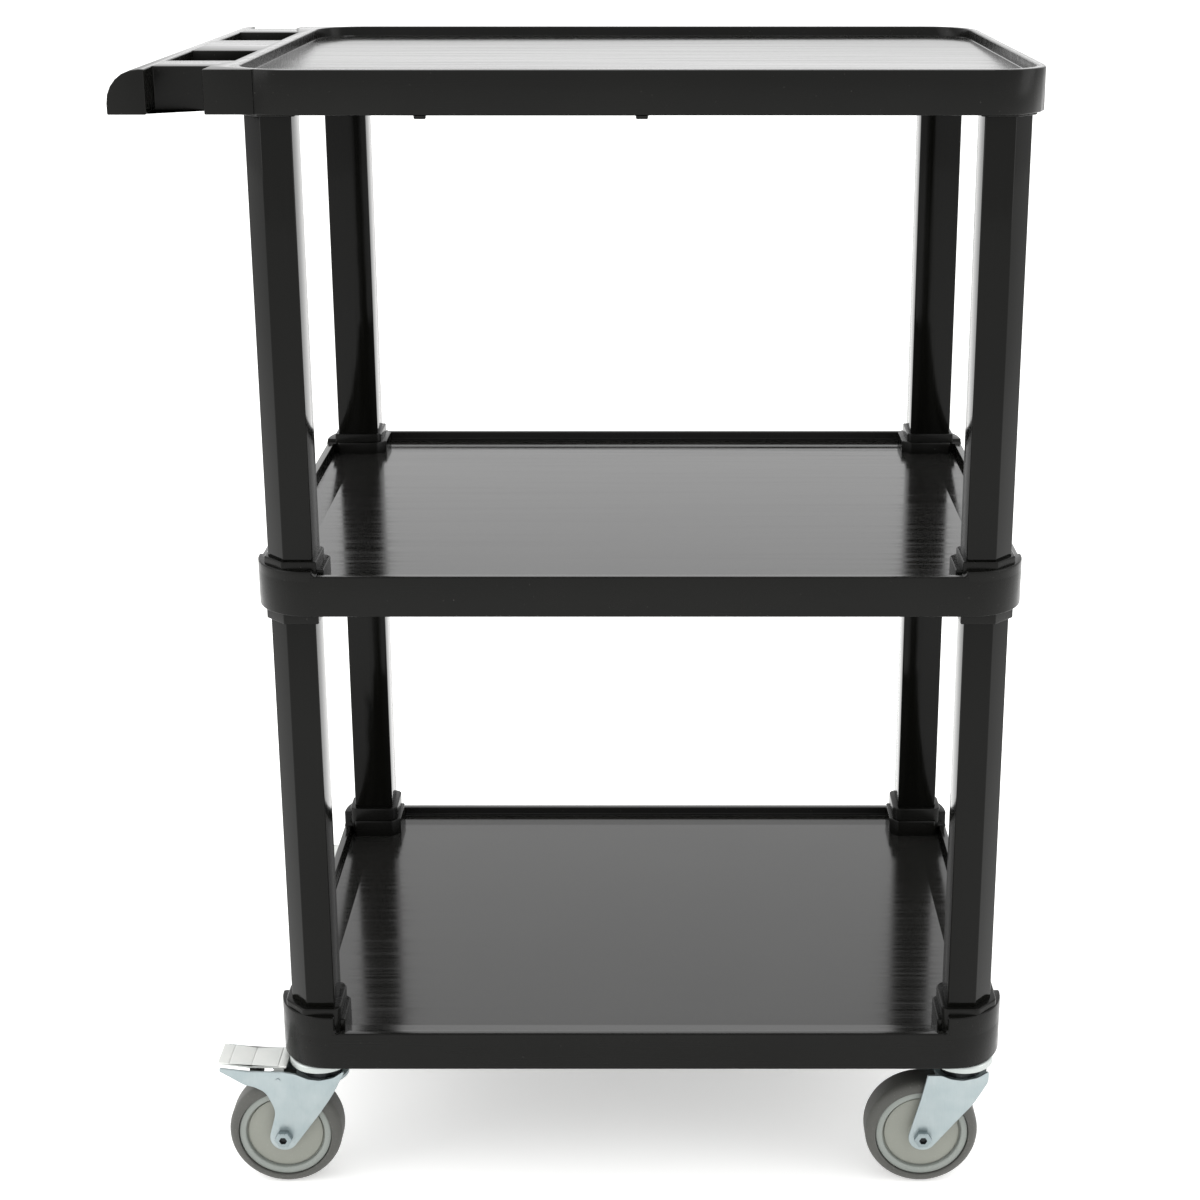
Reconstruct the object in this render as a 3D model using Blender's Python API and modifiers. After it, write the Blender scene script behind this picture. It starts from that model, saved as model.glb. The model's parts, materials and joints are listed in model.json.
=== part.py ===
"""Three-shelf moulded utility trolley with a moulded push handle and four swivel casters.

Metres, +Z up.  The floor is z = 0 and the origin lies under the middle of the whole
trolley, handle included.  The handle is at the -X end, and Y is the short way.
"""

import math

import bmesh
import bpy
from mathutils import Vector

# ---------------------------------------------------------------- driving dimensions

# Trays.
TRAY_LENGTH = 0.6096
TRAY_WIDTH = 0.4572
TRAY_CORNER_RADIUS = 0.046
APRON_HEIGHT = 0.033
APRON_WALL = 0.004
RIM_WIDTH = 0.007
RIM_LIP = 0.0086
DECK_THICKNESS = 0.004
RIB_WIDTH = 0.003
RIB_DEPTH = 0.014
LUG_WIDTH = 0.009
LUG_DROP = 0.0028
LUG_PLACES = (-0.160, 0.003)

# Heights: the casters' top above the wheels, then rim to rim.
WHEEL_DIAMETER = 0.096
CASTER_HEADROOM = 0.0235
LOWER_SPACING = 0.401
UPPER_SPACING = 0.389

# Push handle.
HANDLE_REACH = 0.0852
HANDLE_SETBACK = 0.005
GRIP_ROUNDING = 0.025
GRIP_WALL = 0.004
NOTCH_DEPTH = 0.033
NOTCH_LEDGE = 0.0137
HAND_HOLE_LENGTH = 0.096
HAND_HOLE_LEDGE = 0.0042
CENTRE_WEB = 0.107

# Legs, and the blocks, collars and sleeves that hold them.
LEG_WIDTH = 0.0376
LEG_INSET = 0.0112
LEG_OUTER_CHAMFER = 0.0145
LEG_SMALL_CHAMFER = 0.0022
LEG_WALL = 0.003
BLOCK_PAST_LEG = 0.0002
BUTTRESS_GROWTH = 0.008
BUTTRESS_CHAMFER = 0.012
MIDDLE_BLOCK_RISE = 0.004
MIDDLE_COLLAR_RISE = 0.0095
BOTTOM_BLOCK_RISE = 0.0145
BOTTOM_COLLAR_RISE = 0.0195
COLLAR_WALL = 0.003
BOTTOM_COLLAR_WALL = 0.005
SLEEVE_DROP = 0.009
TOP_SLEEVE_DROP = 0.002
SOCKET_CEILING = 0.002
SOCKET_WEB = 0.004
SOCKET_FLOOR = 0.006

# Wheels.
TYRE_WIDTH = 0.031
TYRE_SHOULDER = 0.009
TYRE_DEPTH = 0.0087
HUB_RIM_DEPTH = 0.0065
HUB_RIM_SINK = 0.0017
HUB_DISC_SINK = 0.005
HUB_BOSS_RADIUS = 0.0105
AXLE_RADIUS = 0.004
BUSH_WALL = 0.002
HEX_RADIUS = 0.0075
HEAD_HEIGHT = 0.005
NUT_HEIGHT = 0.0062

# Caster forks and swivel bearings.  Outline points are (X from the swivel axis, Z).
CASTER_INBOARD = 0.0032
CASTER_TRAIL = 0.0325
FORK_CLEARANCE = 0.0025
FORK_PLATE = 0.0025
FORK_TIP_RADIUS = 0.012
CROWN_RADIUS = 0.0225
CROWN_THICKNESS = 0.003
CROWN_BELOW_MOUNT = 0.0165
CUP_RADIUS = 0.027
CUP_WALL = 0.002
CUP_HEIGHT = 0.006
RACE_OUTER_RADIUS = 0.0175
RACE_INNER_RADIUS = 0.0095
STEM_RADIUS = 0.0055
STEM_TIP_TAPER = 0.002
STEM_LENGTH = 0.034
KINGPIN_RADIUS = 0.006
KINGPIN_HEAD_RADIUS = 0.0095
KINGPIN_HEAD_HEIGHT = 0.0028
KINGPIN_HEAD_TAPER = 0.002
# Front and plain back edges: Z is a share of the way up from the axle to the crown's top.
FORK_FRONT = ((0.0, 0.427), (0.0108, 0.751))
FORK_PLAIN_BACK = (-0.0355, 0.673)
# Upper edges and ears: Z is above the crown's top.
FORK_SCOOP = ((0.012, 0.0025), (0.0, 0.0), (-0.010, 0.001))
FORK_PLAIN_TOP = ((-0.0185, 0.0045), (-0.030, 0.0045))
EAR_ROOT = (-0.020, 0.0055)
EAR_TIP_TOP = 0.0105
EAR_TIP_LOW = 0.0075
EAR_UNDERSIDE = (
    (-0.064, -0.0045),
    (-0.056, -0.007),
    (-0.0462, -0.0115),
    (-0.040, -0.020),
    (-0.038, -0.032),
)

# Brake pedals.
PEDAL_REACH = 0.086
PEDAL_SIDE_GAP = 0.003
PEDAL_PLATE = 0.0025
PEDAL_BELOW_MOUNT = 0.0085
PEDAL_CUP_GAP = 0.0015
PEDAL_BEND_SHARE = 0.55
PEDAL_BEND_LIFT = 0.0006
PEDAL_TIP_LIFT = 0.004
PEDAL_LUG = 0.0025
PEDAL_EYE_RADIUS = 0.004
PEDAL_PIN_RADIUS = 0.002
PEDAL_PIVOT_X = -0.035
PEDAL_PIVOT_BELOW_MOUNT = 0.0165
EAR_SHORT_OF_PEDAL = 0.002
SHOE_GAP = 0.0028
SHOE_WIDTH = 0.020
SHOE_ANGLE = 118
SHOE_SPAN = 11

# Fits between pieces, and the overlap that joins solids within a piece.
FIT = 0.0003
OVERLAP = 0.001
PAST = 0.010

ARC_STEPS = 6
SMALL_ROUND_STEPS = 14
ROUND_STEPS = 20
WHEEL_STEPS = 32

# ---------------------------------------------------------------- places that follow

TRAY_X = HANDLE_REACH / 2
GRIP_WIDTH = GRIP_ROUNDING + GRIP_WALL
LEG_FROM_EDGE = LEG_INSET + LEG_WIDTH / 2
CORNER_BLOCK = LEG_FROM_EDGE + LEG_WIDTH / 2 + BLOCK_PAST_LEG
AXLE_HEIGHT = WHEEL_DIAMETER / 2
CASTER_MOUNT = WHEEL_DIAMETER + CASTER_HEADROOM
CROWN_TOP = CASTER_MOUNT - CROWN_BELOW_MOUNT
BOTTOM_RIM_HEIGHT = CASTER_MOUNT + APRON_HEIGHT
MIDDLE_RIM_HEIGHT = BOTTOM_RIM_HEIGHT + LOWER_SPACING
TOP_RIM_HEIGHT = MIDDLE_RIM_HEIGHT + UPPER_SPACING
FORK_GAP = TYRE_WIDTH + 2 * FORK_CLEARANCE
HUB_RADIUS = WHEEL_DIAMETER / 2 - TYRE_DEPTH
PEDAL_WIDTH = FORK_GAP - 2 * PEDAL_SIDE_GAP
PEDAL_UNDERSIDE = CASTER_MOUNT - PEDAL_BELOW_MOUNT
PEDAL_PIVOT_Z = CASTER_MOUNT - PEDAL_PIVOT_BELOW_MOUNT
CORNERS = {
    "front_left": (-1, -1),
    "front_right": (1, -1),
    "back_left": (-1, 1),
    "back_right": (1, 1),
}
BRAKED_CORNERS = ("front_left", "back_left")


# ---------------------------------------------------------------- scene and materials


def clear_scene():
    """Remove whatever the scene holds."""
    for thing in list(bpy.data.objects):
        bpy.data.objects.remove(thing, do_unlink=True)


clear_scene()
PARTS = bpy.data.collections.new("utility_trolley")
CUTTERS = bpy.data.collections.new("cutters")
bpy.context.scene.collection.children.link(PARTS)
bpy.context.scene.collection.children.link(CUTTERS)


def finish(name, colour, roughness, metallic):
    """A Principled material with one colour."""
    material = bpy.data.materials.new(name)
    material.use_nodes = True
    shader = material.node_tree.nodes["Principled BSDF"]
    shader.inputs["Base Color"].default_value = (*colour, 1.0)
    shader.inputs["Roughness"].default_value = roughness
    shader.inputs["Metallic"].default_value = metallic
    return material


BLACK_RESIN = finish("black_resin", (0.026, 0.026, 0.024), 0.45, 0.0)
GLOSS_RESIN = finish("gloss_black_resin", (0.012, 0.012, 0.011), 0.18, 0.0)
ZINC = finish("zinc_plate", (0.62, 0.68, 0.70), 0.35, 0.9)
DARK_STEEL = finish("dark_steel", (0.05, 0.05, 0.055), 0.5, 0.8)
WHITE_ZINC = finish("white_zinc", (0.80, 0.82, 0.82), 0.40, 0.6)
GREY_RUBBER = finish("grey_rubber", (0.10, 0.10, 0.095), 0.7, 0.0)
GREY_PLASTIC = finish("grey_plastic", (0.26, 0.26, 0.23), 0.5, 0.0)


# ---------------------------------------------------------------- outlines


def arc(centre, radius, start, end, steps=ARC_STEPS):
    """Points on a circular arc, both ends included, angles in degrees."""
    return [
        (
            centre[0] + radius * math.cos(math.radians(start + (end - start) * k / steps)),
            centre[1] + radius * math.sin(math.radians(start + (end - start) * k / steps)),
        )
        for k in range(steps + 1)
    ]


def circle(centre, radius, steps=SMALL_ROUND_STEPS):
    """Points all round a circle."""
    return arc(centre, radius, 0, 360 - 360 / steps, steps - 1)


def rounded_rectangle(length, width, radius):
    """Anticlockwise outline of a rectangle with round corners, centred on the origin."""
    x = length / 2 - radius
    y = width / 2 - radius
    return (
        arc((x, y), radius, 0, 90)
        + arc((-x, y), radius, 90, 180)
        + arc((-x, -y), radius, 180, 270)
        + arc((x, -y), radius, 270, 360)
    )


def rectangle(low, high):
    """Anticlockwise outline of a plain rectangle."""
    return [(low[0], low[1]), (high[0], low[1]), (high[0], high[1]), (low[0], high[1])]


def turned_to_corner(points, side, end):
    """Mirror an outline drawn for the (+X, +Y) corner to another corner, still anticlockwise."""
    placed = [(side * x, end * y) for x, y in points]
    return placed if side * end > 0 else placed[::-1]


def chamfered_square(half, outer_chamfer, small_chamfer):
    """Square section whose (+X, +Y) corner has the large chamfer."""
    c = outer_chamfer
    s = small_chamfer
    return [
        (half, -half + s),
        (half, half - c),
        (half - c, half),
        (-half + s, half),
        (-half, half - s),
        (-half, -half + s),
        (-half + s, -half),
        (half - s, -half),
    ]


def leg_section(growth=0.0):
    """The leg's section, grown outwards evenly all round, for the (+X, +Y) corner."""
    widening = growth * (2 - math.sqrt(2))
    return chamfered_square(
        LEG_WIDTH / 2 + growth, LEG_OUTER_CHAMFER + widening, LEG_SMALL_CHAMFER + widening
    )


def leg_centre(side, end):
    """Middle of a leg, measured from the middle of the tray."""
    return (side * (TRAY_LENGTH / 2 - LEG_FROM_EDGE), end * (TRAY_WIDTH / 2 - LEG_FROM_EDGE))


def at_legs(section):
    """The same section drawn at all four legs, each turned to face its own corner."""
    outlines = []
    for side, end in CORNERS.values():
        x, y = leg_centre(side, end)
        outlines.append([(px + x, py + y) for px, py in turned_to_corner(section, side, end)])
    return outlines


def hexagon(radius):
    """Corners of a hexagon."""
    return arc((0, 0), radius, 0, 300, 5)


# ---------------------------------------------------------------- solids


def add_prism(bm, outline, low, high, upright="Z"):
    """Extrude an outline: along Z it is drawn in X and Y, along Y it is drawn in X and Z."""
    if upright == "Z":
        corners = [bm.verts.new((x, y, low)) for x, y in outline]
        travel = Vector((0, 0, high - low))
    else:
        corners = [bm.verts.new((x, high, z)) for x, z in outline]
        travel = Vector((0, low - high, 0))
    face = bm.faces.new(corners)
    extruded = bmesh.ops.extrude_face_region(bm, geom=[face])
    moved = [item for item in extruded["geom"] if isinstance(item, bmesh.types.BMVert)]
    bmesh.ops.translate(bm, verts=moved, vec=travel)


def place(name, mesh, collection, material, location, parent):
    """Put a mesh in the scene under a name."""
    thing = bpy.data.objects.new(name, mesh)
    collection.objects.link(thing)
    if material:
        mesh.materials.append(material)
    thing.location = location
    thing.parent = parent
    return thing


def prisms(name, shapes, material=None, location=(0, 0, 0), parent=None, upright="Z"):
    """One object from a list of (outline, low, high); it is a cutter if it has no material."""
    bm = bmesh.new()
    for outline, low, high in shapes:
        add_prism(bm, outline, low, high, upright)
    bmesh.ops.remove_doubles(bm, verts=bm.verts, dist=1e-7)
    bmesh.ops.recalc_face_normals(bm, faces=bm.faces)
    mesh = bpy.data.meshes.new(name)
    bm.to_mesh(mesh)
    bm.free()
    thing = place(name, mesh, PARTS if material else CUTTERS, material, location, parent)
    if not material:
        thing.hide_render = True
        thing.display_type = "WIRE"
    return thing


def combine(target, operation, tool):
    """Cut a tool out of a solid, or join it on; the tool moves with the solid."""
    tool.parent = target
    modifier = target.modifiers.new(tool.name, "BOOLEAN")
    modifier.operation = operation
    modifier.object = tool


def turned(name, profile, steps, material, location, parent, along_y=False, closed=True):
    """Turn a profile of (radius, height) points about Z, or about Y for wheels and pins."""
    mesh = bpy.data.meshes.new(name)
    links = [(k, k + 1) for k in range(len(profile) - 1)]
    if closed:
        links.append((len(profile) - 1, 0))
    mesh.from_pydata([(r, 0, h) for r, h in profile], links, [])
    thing = place(name, mesh, PARTS, material, location, parent)
    screw = thing.modifiers.new("turn", "SCREW")
    screw.steps = steps
    screw.render_steps = steps
    screw.use_merge_vertices = True
    screw.merge_threshold = 1e-6
    screw.use_smooth_shade = True
    if along_y:
        thing.rotation_euler = (math.radians(90), 0, 0)
    return thing


def ring_profile(inner, outer, low, high):
    """Square-edged ring: down the outside, then up the bore."""
    return [(outer, high), (outer, low), (inner, low), (inner, high)]


# ---------------------------------------------------------------- shelves


def recess_outline(notched):
    """Outline of the sunk deck: round corners, or corners stepped round the leg blocks."""
    length = TRAY_LENGTH - 2 * RIM_WIDTH
    width = TRAY_WIDTH - 2 * RIM_WIDTH
    if not notched:
        return rounded_rectangle(length, width, TRAY_CORNER_RADIUS - RIM_WIDTH)
    x = length / 2
    y = width / 2
    step = CORNER_BLOCK - RIM_WIDTH
    quarter = [(x, y - step), (x - step, y - step), (x - step, y)]
    return (
        quarter
        + turned_to_corner(quarter, -1, 1)
        + turned_to_corner(quarter, -1, -1)
        + turned_to_corner(quarter, 1, -1)
    )


def between_blocks_outline():
    """Plus-shaped outline that covers a tray except for its four corner blocks."""
    x = TRAY_LENGTH / 2 + PAST
    y = TRAY_WIDTH / 2 + PAST
    inner_x = TRAY_LENGTH / 2 - CORNER_BLOCK
    inner_y = TRAY_WIDTH / 2 - CORNER_BLOCK
    quarter = [(x, inner_y), (inner_x, inner_y), (inner_x, y)]
    return (
        quarter
        + turned_to_corner(quarter, -1, 1)
        + turned_to_corner(quarter, -1, -1)
        + turned_to_corner(quarter, 1, -1)
    )


def underside_ribs():
    """Ribs under a deck, two along X and three along Y, as (outline, low, high)."""
    top = -RIM_LIP - DECK_THICKNESS + OVERLAP
    low = top - RIB_DEPTH
    reach_x = TRAY_LENGTH / 2 - APRON_WALL / 2
    reach_y = TRAY_WIDTH / 2 - APRON_WALL / 2
    half = RIB_WIDTH / 2
    lengthways = [
        (rectangle((-reach_x, y - half), (reach_x, y + half)), low, top)
        for y in (-TRAY_WIDTH / 6, TRAY_WIDTH / 6)
    ]
    crossways = [
        (rectangle((x - half, -reach_y), (x + half, reach_y)), low + OVERLAP, top + OVERLAP / 2)
        for x in (-TRAY_LENGTH / 4, 0, TRAY_LENGTH / 4)
    ]
    return lengthways, crossways


def shelf(name, rim_height, block_rise, flanks=()):
    """Moulded tray: apron, sunk deck, underside ribs and, below the top tray, corner blocks."""
    apron_bottom = -APRON_HEIGHT
    deck = -RIM_LIP
    outer = rounded_rectangle(TRAY_LENGTH, TRAY_WIDTH, TRAY_CORNER_RADIUS)
    tray = prisms(
        name,
        [(outer, apron_bottom, block_rise)],
        BLACK_RESIN,
        (TRAY_X, 0, rim_height),
    )
    if flanks:
        combine(tray, "UNION", prisms(f"{name}_flanks", flanks))
    if block_rise:
        combine(
            tray,
            "DIFFERENCE",
            prisms(f"{name}_above_rim", [(between_blocks_outline(), 0, block_rise + PAST)]),
        )
    combine(
        tray,
        "DIFFERENCE",
        prisms(f"{name}_recess", [(recess_outline(bool(block_rise)), deck, block_rise + PAST)]),
    )
    hollow = rounded_rectangle(
        TRAY_LENGTH - 2 * APRON_WALL, TRAY_WIDTH - 2 * APRON_WALL, TRAY_CORNER_RADIUS - APRON_WALL
    )
    combine(
        tray,
        "DIFFERENCE",
        prisms(f"{name}_hollow", [(hollow, apron_bottom - PAST, deck - DECK_THICKNESS)]),
    )
    lengthways, crossways = underside_ribs()
    combine(tray, "UNION", prisms(f"{name}_long_ribs", lengthways))
    combine(tray, "UNION", prisms(f"{name}_cross_ribs", crossways))
    return tray


def add_sockets(tray, low, high, wall):
    """Join an eight-sided sleeve at each corner of a tray."""
    name = f"{tray.name}_sleeves_{round(high * 10000)}"
    combine(tray, "UNION", prisms(name, [(line, low, high) for line in at_legs(leg_section(wall))]))


def cut_pockets(tray, low, high):
    """Cut the pockets that the leg ends sit in."""
    name = f"{tray.name}_pockets_{round(high * 10000)}"
    combine(
        tray, "DIFFERENCE", prisms(name, [(line, low, high) for line in at_legs(leg_section(FIT))])
    )


def add_buttresses(tray, top):
    """Join the foot that widens each collar towards the middle of the deck."""
    outer = LEG_WIDTH / 2
    inner = -outer - BUTTRESS_GROWTH
    section = [
        (outer, inner),
        (outer, outer - LEG_OUTER_CHAMFER),
        (outer - LEG_OUTER_CHAMFER, outer),
        (inner, outer),
        (inner, inner + BUTTRESS_CHAMFER),
        (inner + BUTTRESS_CHAMFER, inner),
    ]
    low = -RIM_LIP - DECK_THICKNESS / 2
    combine(
        tray,
        "UNION",
        prisms(f"{tray.name}_buttresses", [(line, low, top) for line in at_legs(section)]),
    )


def handle_side():
    """Side view of the handle in X and Z: level top, large rounding at the outer end."""
    outer = -TRAY_LENGTH / 2 - HANDLE_REACH
    inner = -TRAY_LENGTH / 2 + APRON_WALL / 2
    rounding = arc((outer + GRIP_ROUNDING, -GRIP_ROUNDING), GRIP_ROUNDING, 90, 180)
    return [(inner, -APRON_HEIGHT), (inner, 0)] + rounding + [(outer, -APRON_HEIGHT)]


def handle_openings():
    """The two hand holes and the two end notches, as plan outlines."""
    grip_inner = -TRAY_LENGTH / 2 - HANDLE_REACH + GRIP_WIDTH
    hole_far = -TRAY_LENGTH / 2 - HAND_HOLE_LEDGE
    notch_far = -TRAY_LENGTH / 2 - NOTCH_LEDGE
    openings = []
    for end in (-1, 1):
        hole = sorted((end * CENTRE_WEB / 2, end * (CENTRE_WEB / 2 + HAND_HOLE_LENGTH)))
        notch = sorted((end * (TRAY_WIDTH / 2 - NOTCH_DEPTH), end * (TRAY_WIDTH / 2 + PAST)))
        openings.append(rectangle((grip_inner, hole[0]), (hole_far, hole[1])))
        openings.append(rectangle((grip_inner, notch[0]), (notch_far, notch[1])))
    return openings


def grip_channel():
    """The groove along the underside of the grip, in X and Z."""
    outer = -TRAY_LENGTH / 2 - HANDLE_REACH + GRIP_WALL
    inner = -TRAY_LENGTH / 2 - HANDLE_REACH + GRIP_WIDTH - GRIP_WALL
    radius = GRIP_ROUNDING - GRIP_WALL
    ceiling = arc((outer + radius, -GRIP_WALL - radius), radius, 90, 180)
    return (
        [(inner, -APRON_HEIGHT - PAST), (inner, -GRIP_WALL)]
        + ceiling
        + [(outer, -APRON_HEIGHT - PAST)]
    )


def add_handle(tray):
    """Join the moulded push handle to the -X end of the top tray."""
    half_width = TRAY_WIDTH / 2 - HANDLE_SETBACK
    handle = prisms("handle_body", [(handle_side(), -half_width, half_width)], upright="Y")
    openings = prisms(
        "handle_openings",
        [(outline, -APRON_HEIGHT - PAST, PAST) for outline in handle_openings()],
    )
    channel_half = half_width - GRIP_WALL
    channel = prisms("grip_channel", [(grip_channel(), -channel_half, channel_half)], upright="Y")
    combine(handle, "DIFFERENCE", openings)
    combine(handle, "DIFFERENCE", channel)
    combine(tray, "UNION", handle)


def handle_flanks():
    """Square corners that carry the handle's ends past the tray's round corners."""
    inner = -TRAY_LENGTH / 2 + TRAY_CORNER_RADIUS / 2
    outer = -TRAY_LENGTH / 2 + APRON_WALL / 4
    flanks = []
    for end in (-1, 1):
        near = end * (TRAY_WIDTH / 2 - TRAY_CORNER_RADIUS)
        far = end * (TRAY_WIDTH / 2 - HANDLE_SETBACK)
        y = sorted((near, far))
        flanks.append((rectangle((outer, y[0]), (inner, y[1])), -APRON_HEIGHT, 0))
    return flanks


def add_lugs(tray):
    """Join the small lugs that hang below the apron's long sides."""
    lugs = []
    for x in LUG_PLACES:
        for end in (-1, 1):
            inner = TRAY_WIDTH / 2 - APRON_WALL
            y = sorted((end * inner, end * (inner + APRON_WALL * 3 / 4)))
            outline = rectangle((x - LUG_WIDTH / 2, y[0]), (x + LUG_WIDTH / 2, y[1]))
            lugs.append((outline, -APRON_HEIGHT - LUG_DROP, -APRON_HEIGHT + OVERLAP))
    combine(tray, "UNION", prisms(f"{tray.name}_lugs", lugs))


def top_shelf():
    """The top tray, with the handle moulded on."""
    tray = shelf("top_shelf", TOP_RIM_HEIGHT, 0.0, handle_flanks())
    deck_underside = -RIM_LIP - DECK_THICKNESS
    sleeve_bottom = -APRON_HEIGHT - TOP_SLEEVE_DROP
    add_handle(tray)
    add_sockets(tray, sleeve_bottom, deck_underside + OVERLAP, COLLAR_WALL)
    cut_pockets(tray, sleeve_bottom - PAST, deck_underside - SOCKET_CEILING)
    add_lugs(tray)
    return tray


def middle_shelf():
    """The middle tray: upper legs stand in its collars, lower legs enter from below."""
    tray = shelf("middle_shelf", MIDDLE_RIM_HEIGHT, MIDDLE_BLOCK_RISE)
    deck_underside = -RIM_LIP - DECK_THICKNESS
    add_buttresses(tray, MIDDLE_BLOCK_RISE / 2)
    add_sockets(tray, -APRON_HEIGHT - SLEEVE_DROP, MIDDLE_COLLAR_RISE, COLLAR_WALL)
    cut_pockets(tray, deck_underside + SOCKET_WEB / 2, MIDDLE_COLLAR_RISE + PAST)
    cut_pockets(tray, -APRON_HEIGHT - SLEEVE_DROP - PAST, deck_underside - SOCKET_WEB / 2)
    return tray


def bottom_shelf():
    """The bottom tray: lower legs stand in its deep collars, caster stems pass its floors."""
    tray = shelf("bottom_shelf", BOTTOM_RIM_HEIGHT, BOTTOM_BLOCK_RISE)
    mount = CASTER_MOUNT - BOTTOM_RIM_HEIGHT
    add_buttresses(tray, BOTTOM_BLOCK_RISE / 2)
    add_sockets(tray, mount, BOTTOM_COLLAR_RISE, BOTTOM_COLLAR_WALL)
    cut_pockets(tray, mount + SOCKET_FLOOR, BOTTOM_COLLAR_RISE + PAST)
    holes = []
    for side, end in CORNERS.values():
        x, y = caster_axis(side, end)
        hole = circle((x - TRAY_X, y), STEM_RADIUS + FIT)
        holes.append((hole, mount - PAST, mount + SOCKET_FLOOR + PAST))
    combine(tray, "DIFFERENCE", prisms("stem_holes", holes))
    return tray


# ---------------------------------------------------------------- legs


def leg(name, side, end, low, high):
    """Hollow moulded leg: a tube with one large chamfer towards the trolley's corner."""
    x, y = leg_centre(side, end)
    tube = prisms(
        name,
        [(turned_to_corner(leg_section(), side, end), 0, high - low)],
        GLOSS_RESIN,
        (TRAY_X + x, y, low),
    )
    bore = turned_to_corner(leg_section(-LEG_WALL), side, end)
    combine(tube, "DIFFERENCE", prisms(f"{name}_bore", [(bore, -PAST, high - low + PAST)]))
    return tube


def legs(corner, side, end):
    """The upper and the lower leg of one corner, each a hair short of its two sockets."""
    deck_drop = RIM_LIP + DECK_THICKNESS
    leg(
        f"upper_leg_{corner}",
        side,
        end,
        MIDDLE_RIM_HEIGHT - deck_drop + SOCKET_WEB / 2 + FIT,
        TOP_RIM_HEIGHT - deck_drop - SOCKET_CEILING - FIT,
    )
    leg(
        f"lower_leg_{corner}",
        side,
        end,
        CASTER_MOUNT + SOCKET_FLOOR + FIT,
        MIDDLE_RIM_HEIGHT - deck_drop - SOCKET_WEB / 2 - FIT,
    )


# ---------------------------------------------------------------- casters


def caster_axis(side, end):
    """Where a caster's swivel axis stands on the floor."""
    return (
        TRAY_X + side * (TRAY_LENGTH / 2 - LEG_FROM_EDGE - CASTER_INBOARD),
        end * (TRAY_WIDTH / 2 - LEG_FROM_EDGE),
    )


def stem_socket(corner, side, end):
    """The plug inside the foot of the lower leg that grips the caster's stem."""
    x, y = leg_centre(side, end)
    axis_x, axis_y = caster_axis(side, end)
    base = CASTER_MOUNT + SOCKET_FLOOR + FIT
    plug = prisms(
        f"stem_socket_{corner}",
        [(turned_to_corner(leg_section(-LEG_WALL - FIT), side, end), 0, STEM_LENGTH)],
        DARK_STEEL,
        (TRAY_X + x, y, base),
    )
    centre = (axis_x - TRAY_X - x, axis_y - y)
    bore = circle(centre, STEM_RADIUS + FIT)
    combine(
        plug, "DIFFERENCE", prisms(f"stem_socket_{corner}_bore", [(bore, -PAST, STEM_LENGTH + PAST)])
    )


def caster_stem(corner, axis):
    """Stem above, kingpin below and the riveted head that holds the fork up."""
    top = CASTER_MOUNT + SOCKET_FLOOR + STEM_LENGTH
    shoulder = CASTER_MOUNT - FIT
    crown_low = CROWN_TOP - CROWN_THICKNESS - FIT
    profile = [
        (0, top),
        (STEM_RADIUS - STEM_TIP_TAPER, top),
        (STEM_RADIUS, top - STEM_TIP_TAPER),
        (STEM_RADIUS, shoulder),
        (KINGPIN_RADIUS, shoulder),
        (KINGPIN_RADIUS, crown_low),
        (KINGPIN_HEAD_RADIUS, crown_low),
        (KINGPIN_HEAD_RADIUS - KINGPIN_HEAD_TAPER, crown_low - KINGPIN_HEAD_HEIGHT),
        (0, crown_low - KINGPIN_HEAD_HEIGHT),
    ]
    turned(
        f"caster_stem_{corner}", profile, SMALL_ROUND_STEPS, DARK_STEEL, (*axis, 0), None, closed=False
    )


def top_cup(corner, axis):
    """Pressed cup that covers the swivel bearing and bears on the tray's corner."""
    top = CASTER_MOUNT - FIT
    low = top - CUP_HEIGHT
    bore = KINGPIN_RADIUS + FIT
    slope = CUP_WALL
    profile = [
        (CUP_RADIUS - slope, top),
        (CUP_RADIUS, top - slope),
        (CUP_RADIUS, low),
        (CUP_RADIUS - CUP_WALL, low),
        (CUP_RADIUS - CUP_WALL, top - slope - CUP_WALL / 2),
        (CUP_RADIUS - slope - CUP_WALL / 2, top - CUP_WALL),
        (bore, top - CUP_WALL),
        (bore, top),
    ]
    turned(f"top_cup_{corner}", profile, ROUND_STEPS, WHITE_ZINC, (*axis, 0), None)


def fork_side(braked):
    """Side view of a fork plate in X and Z, about the swivel axis; the ears carry the pedal."""
    tip = arc((-CASTER_TRAIL, AXLE_HEIGHT), FORK_TIP_RADIUS, 180, 327)
    rise = CROWN_TOP - AXLE_HEIGHT
    front = [(x, AXLE_HEIGHT + share * rise) for x, share in FORK_FRONT]
    front_top = (CROWN_RADIUS, CASTER_MOUNT - CUP_HEIGHT - FIT)
    if braked:
        ear_end = -PEDAL_REACH + EAR_SHORT_OF_PEDAL
        back = [EAR_ROOT, (ear_end, EAR_TIP_TOP), (ear_end, EAR_TIP_LOW), *EAR_UNDERSIDE]
    else:
        back = list(FORK_PLAIN_TOP)
    upper = [(x, CROWN_TOP + z) for x, z in (*FORK_SCOOP, *back)]
    if not braked:
        upper.append((FORK_PLAIN_BACK[0], AXLE_HEIGHT + FORK_PLAIN_BACK[1] * rise))
    return tip + front + [front_top] + upper


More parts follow.
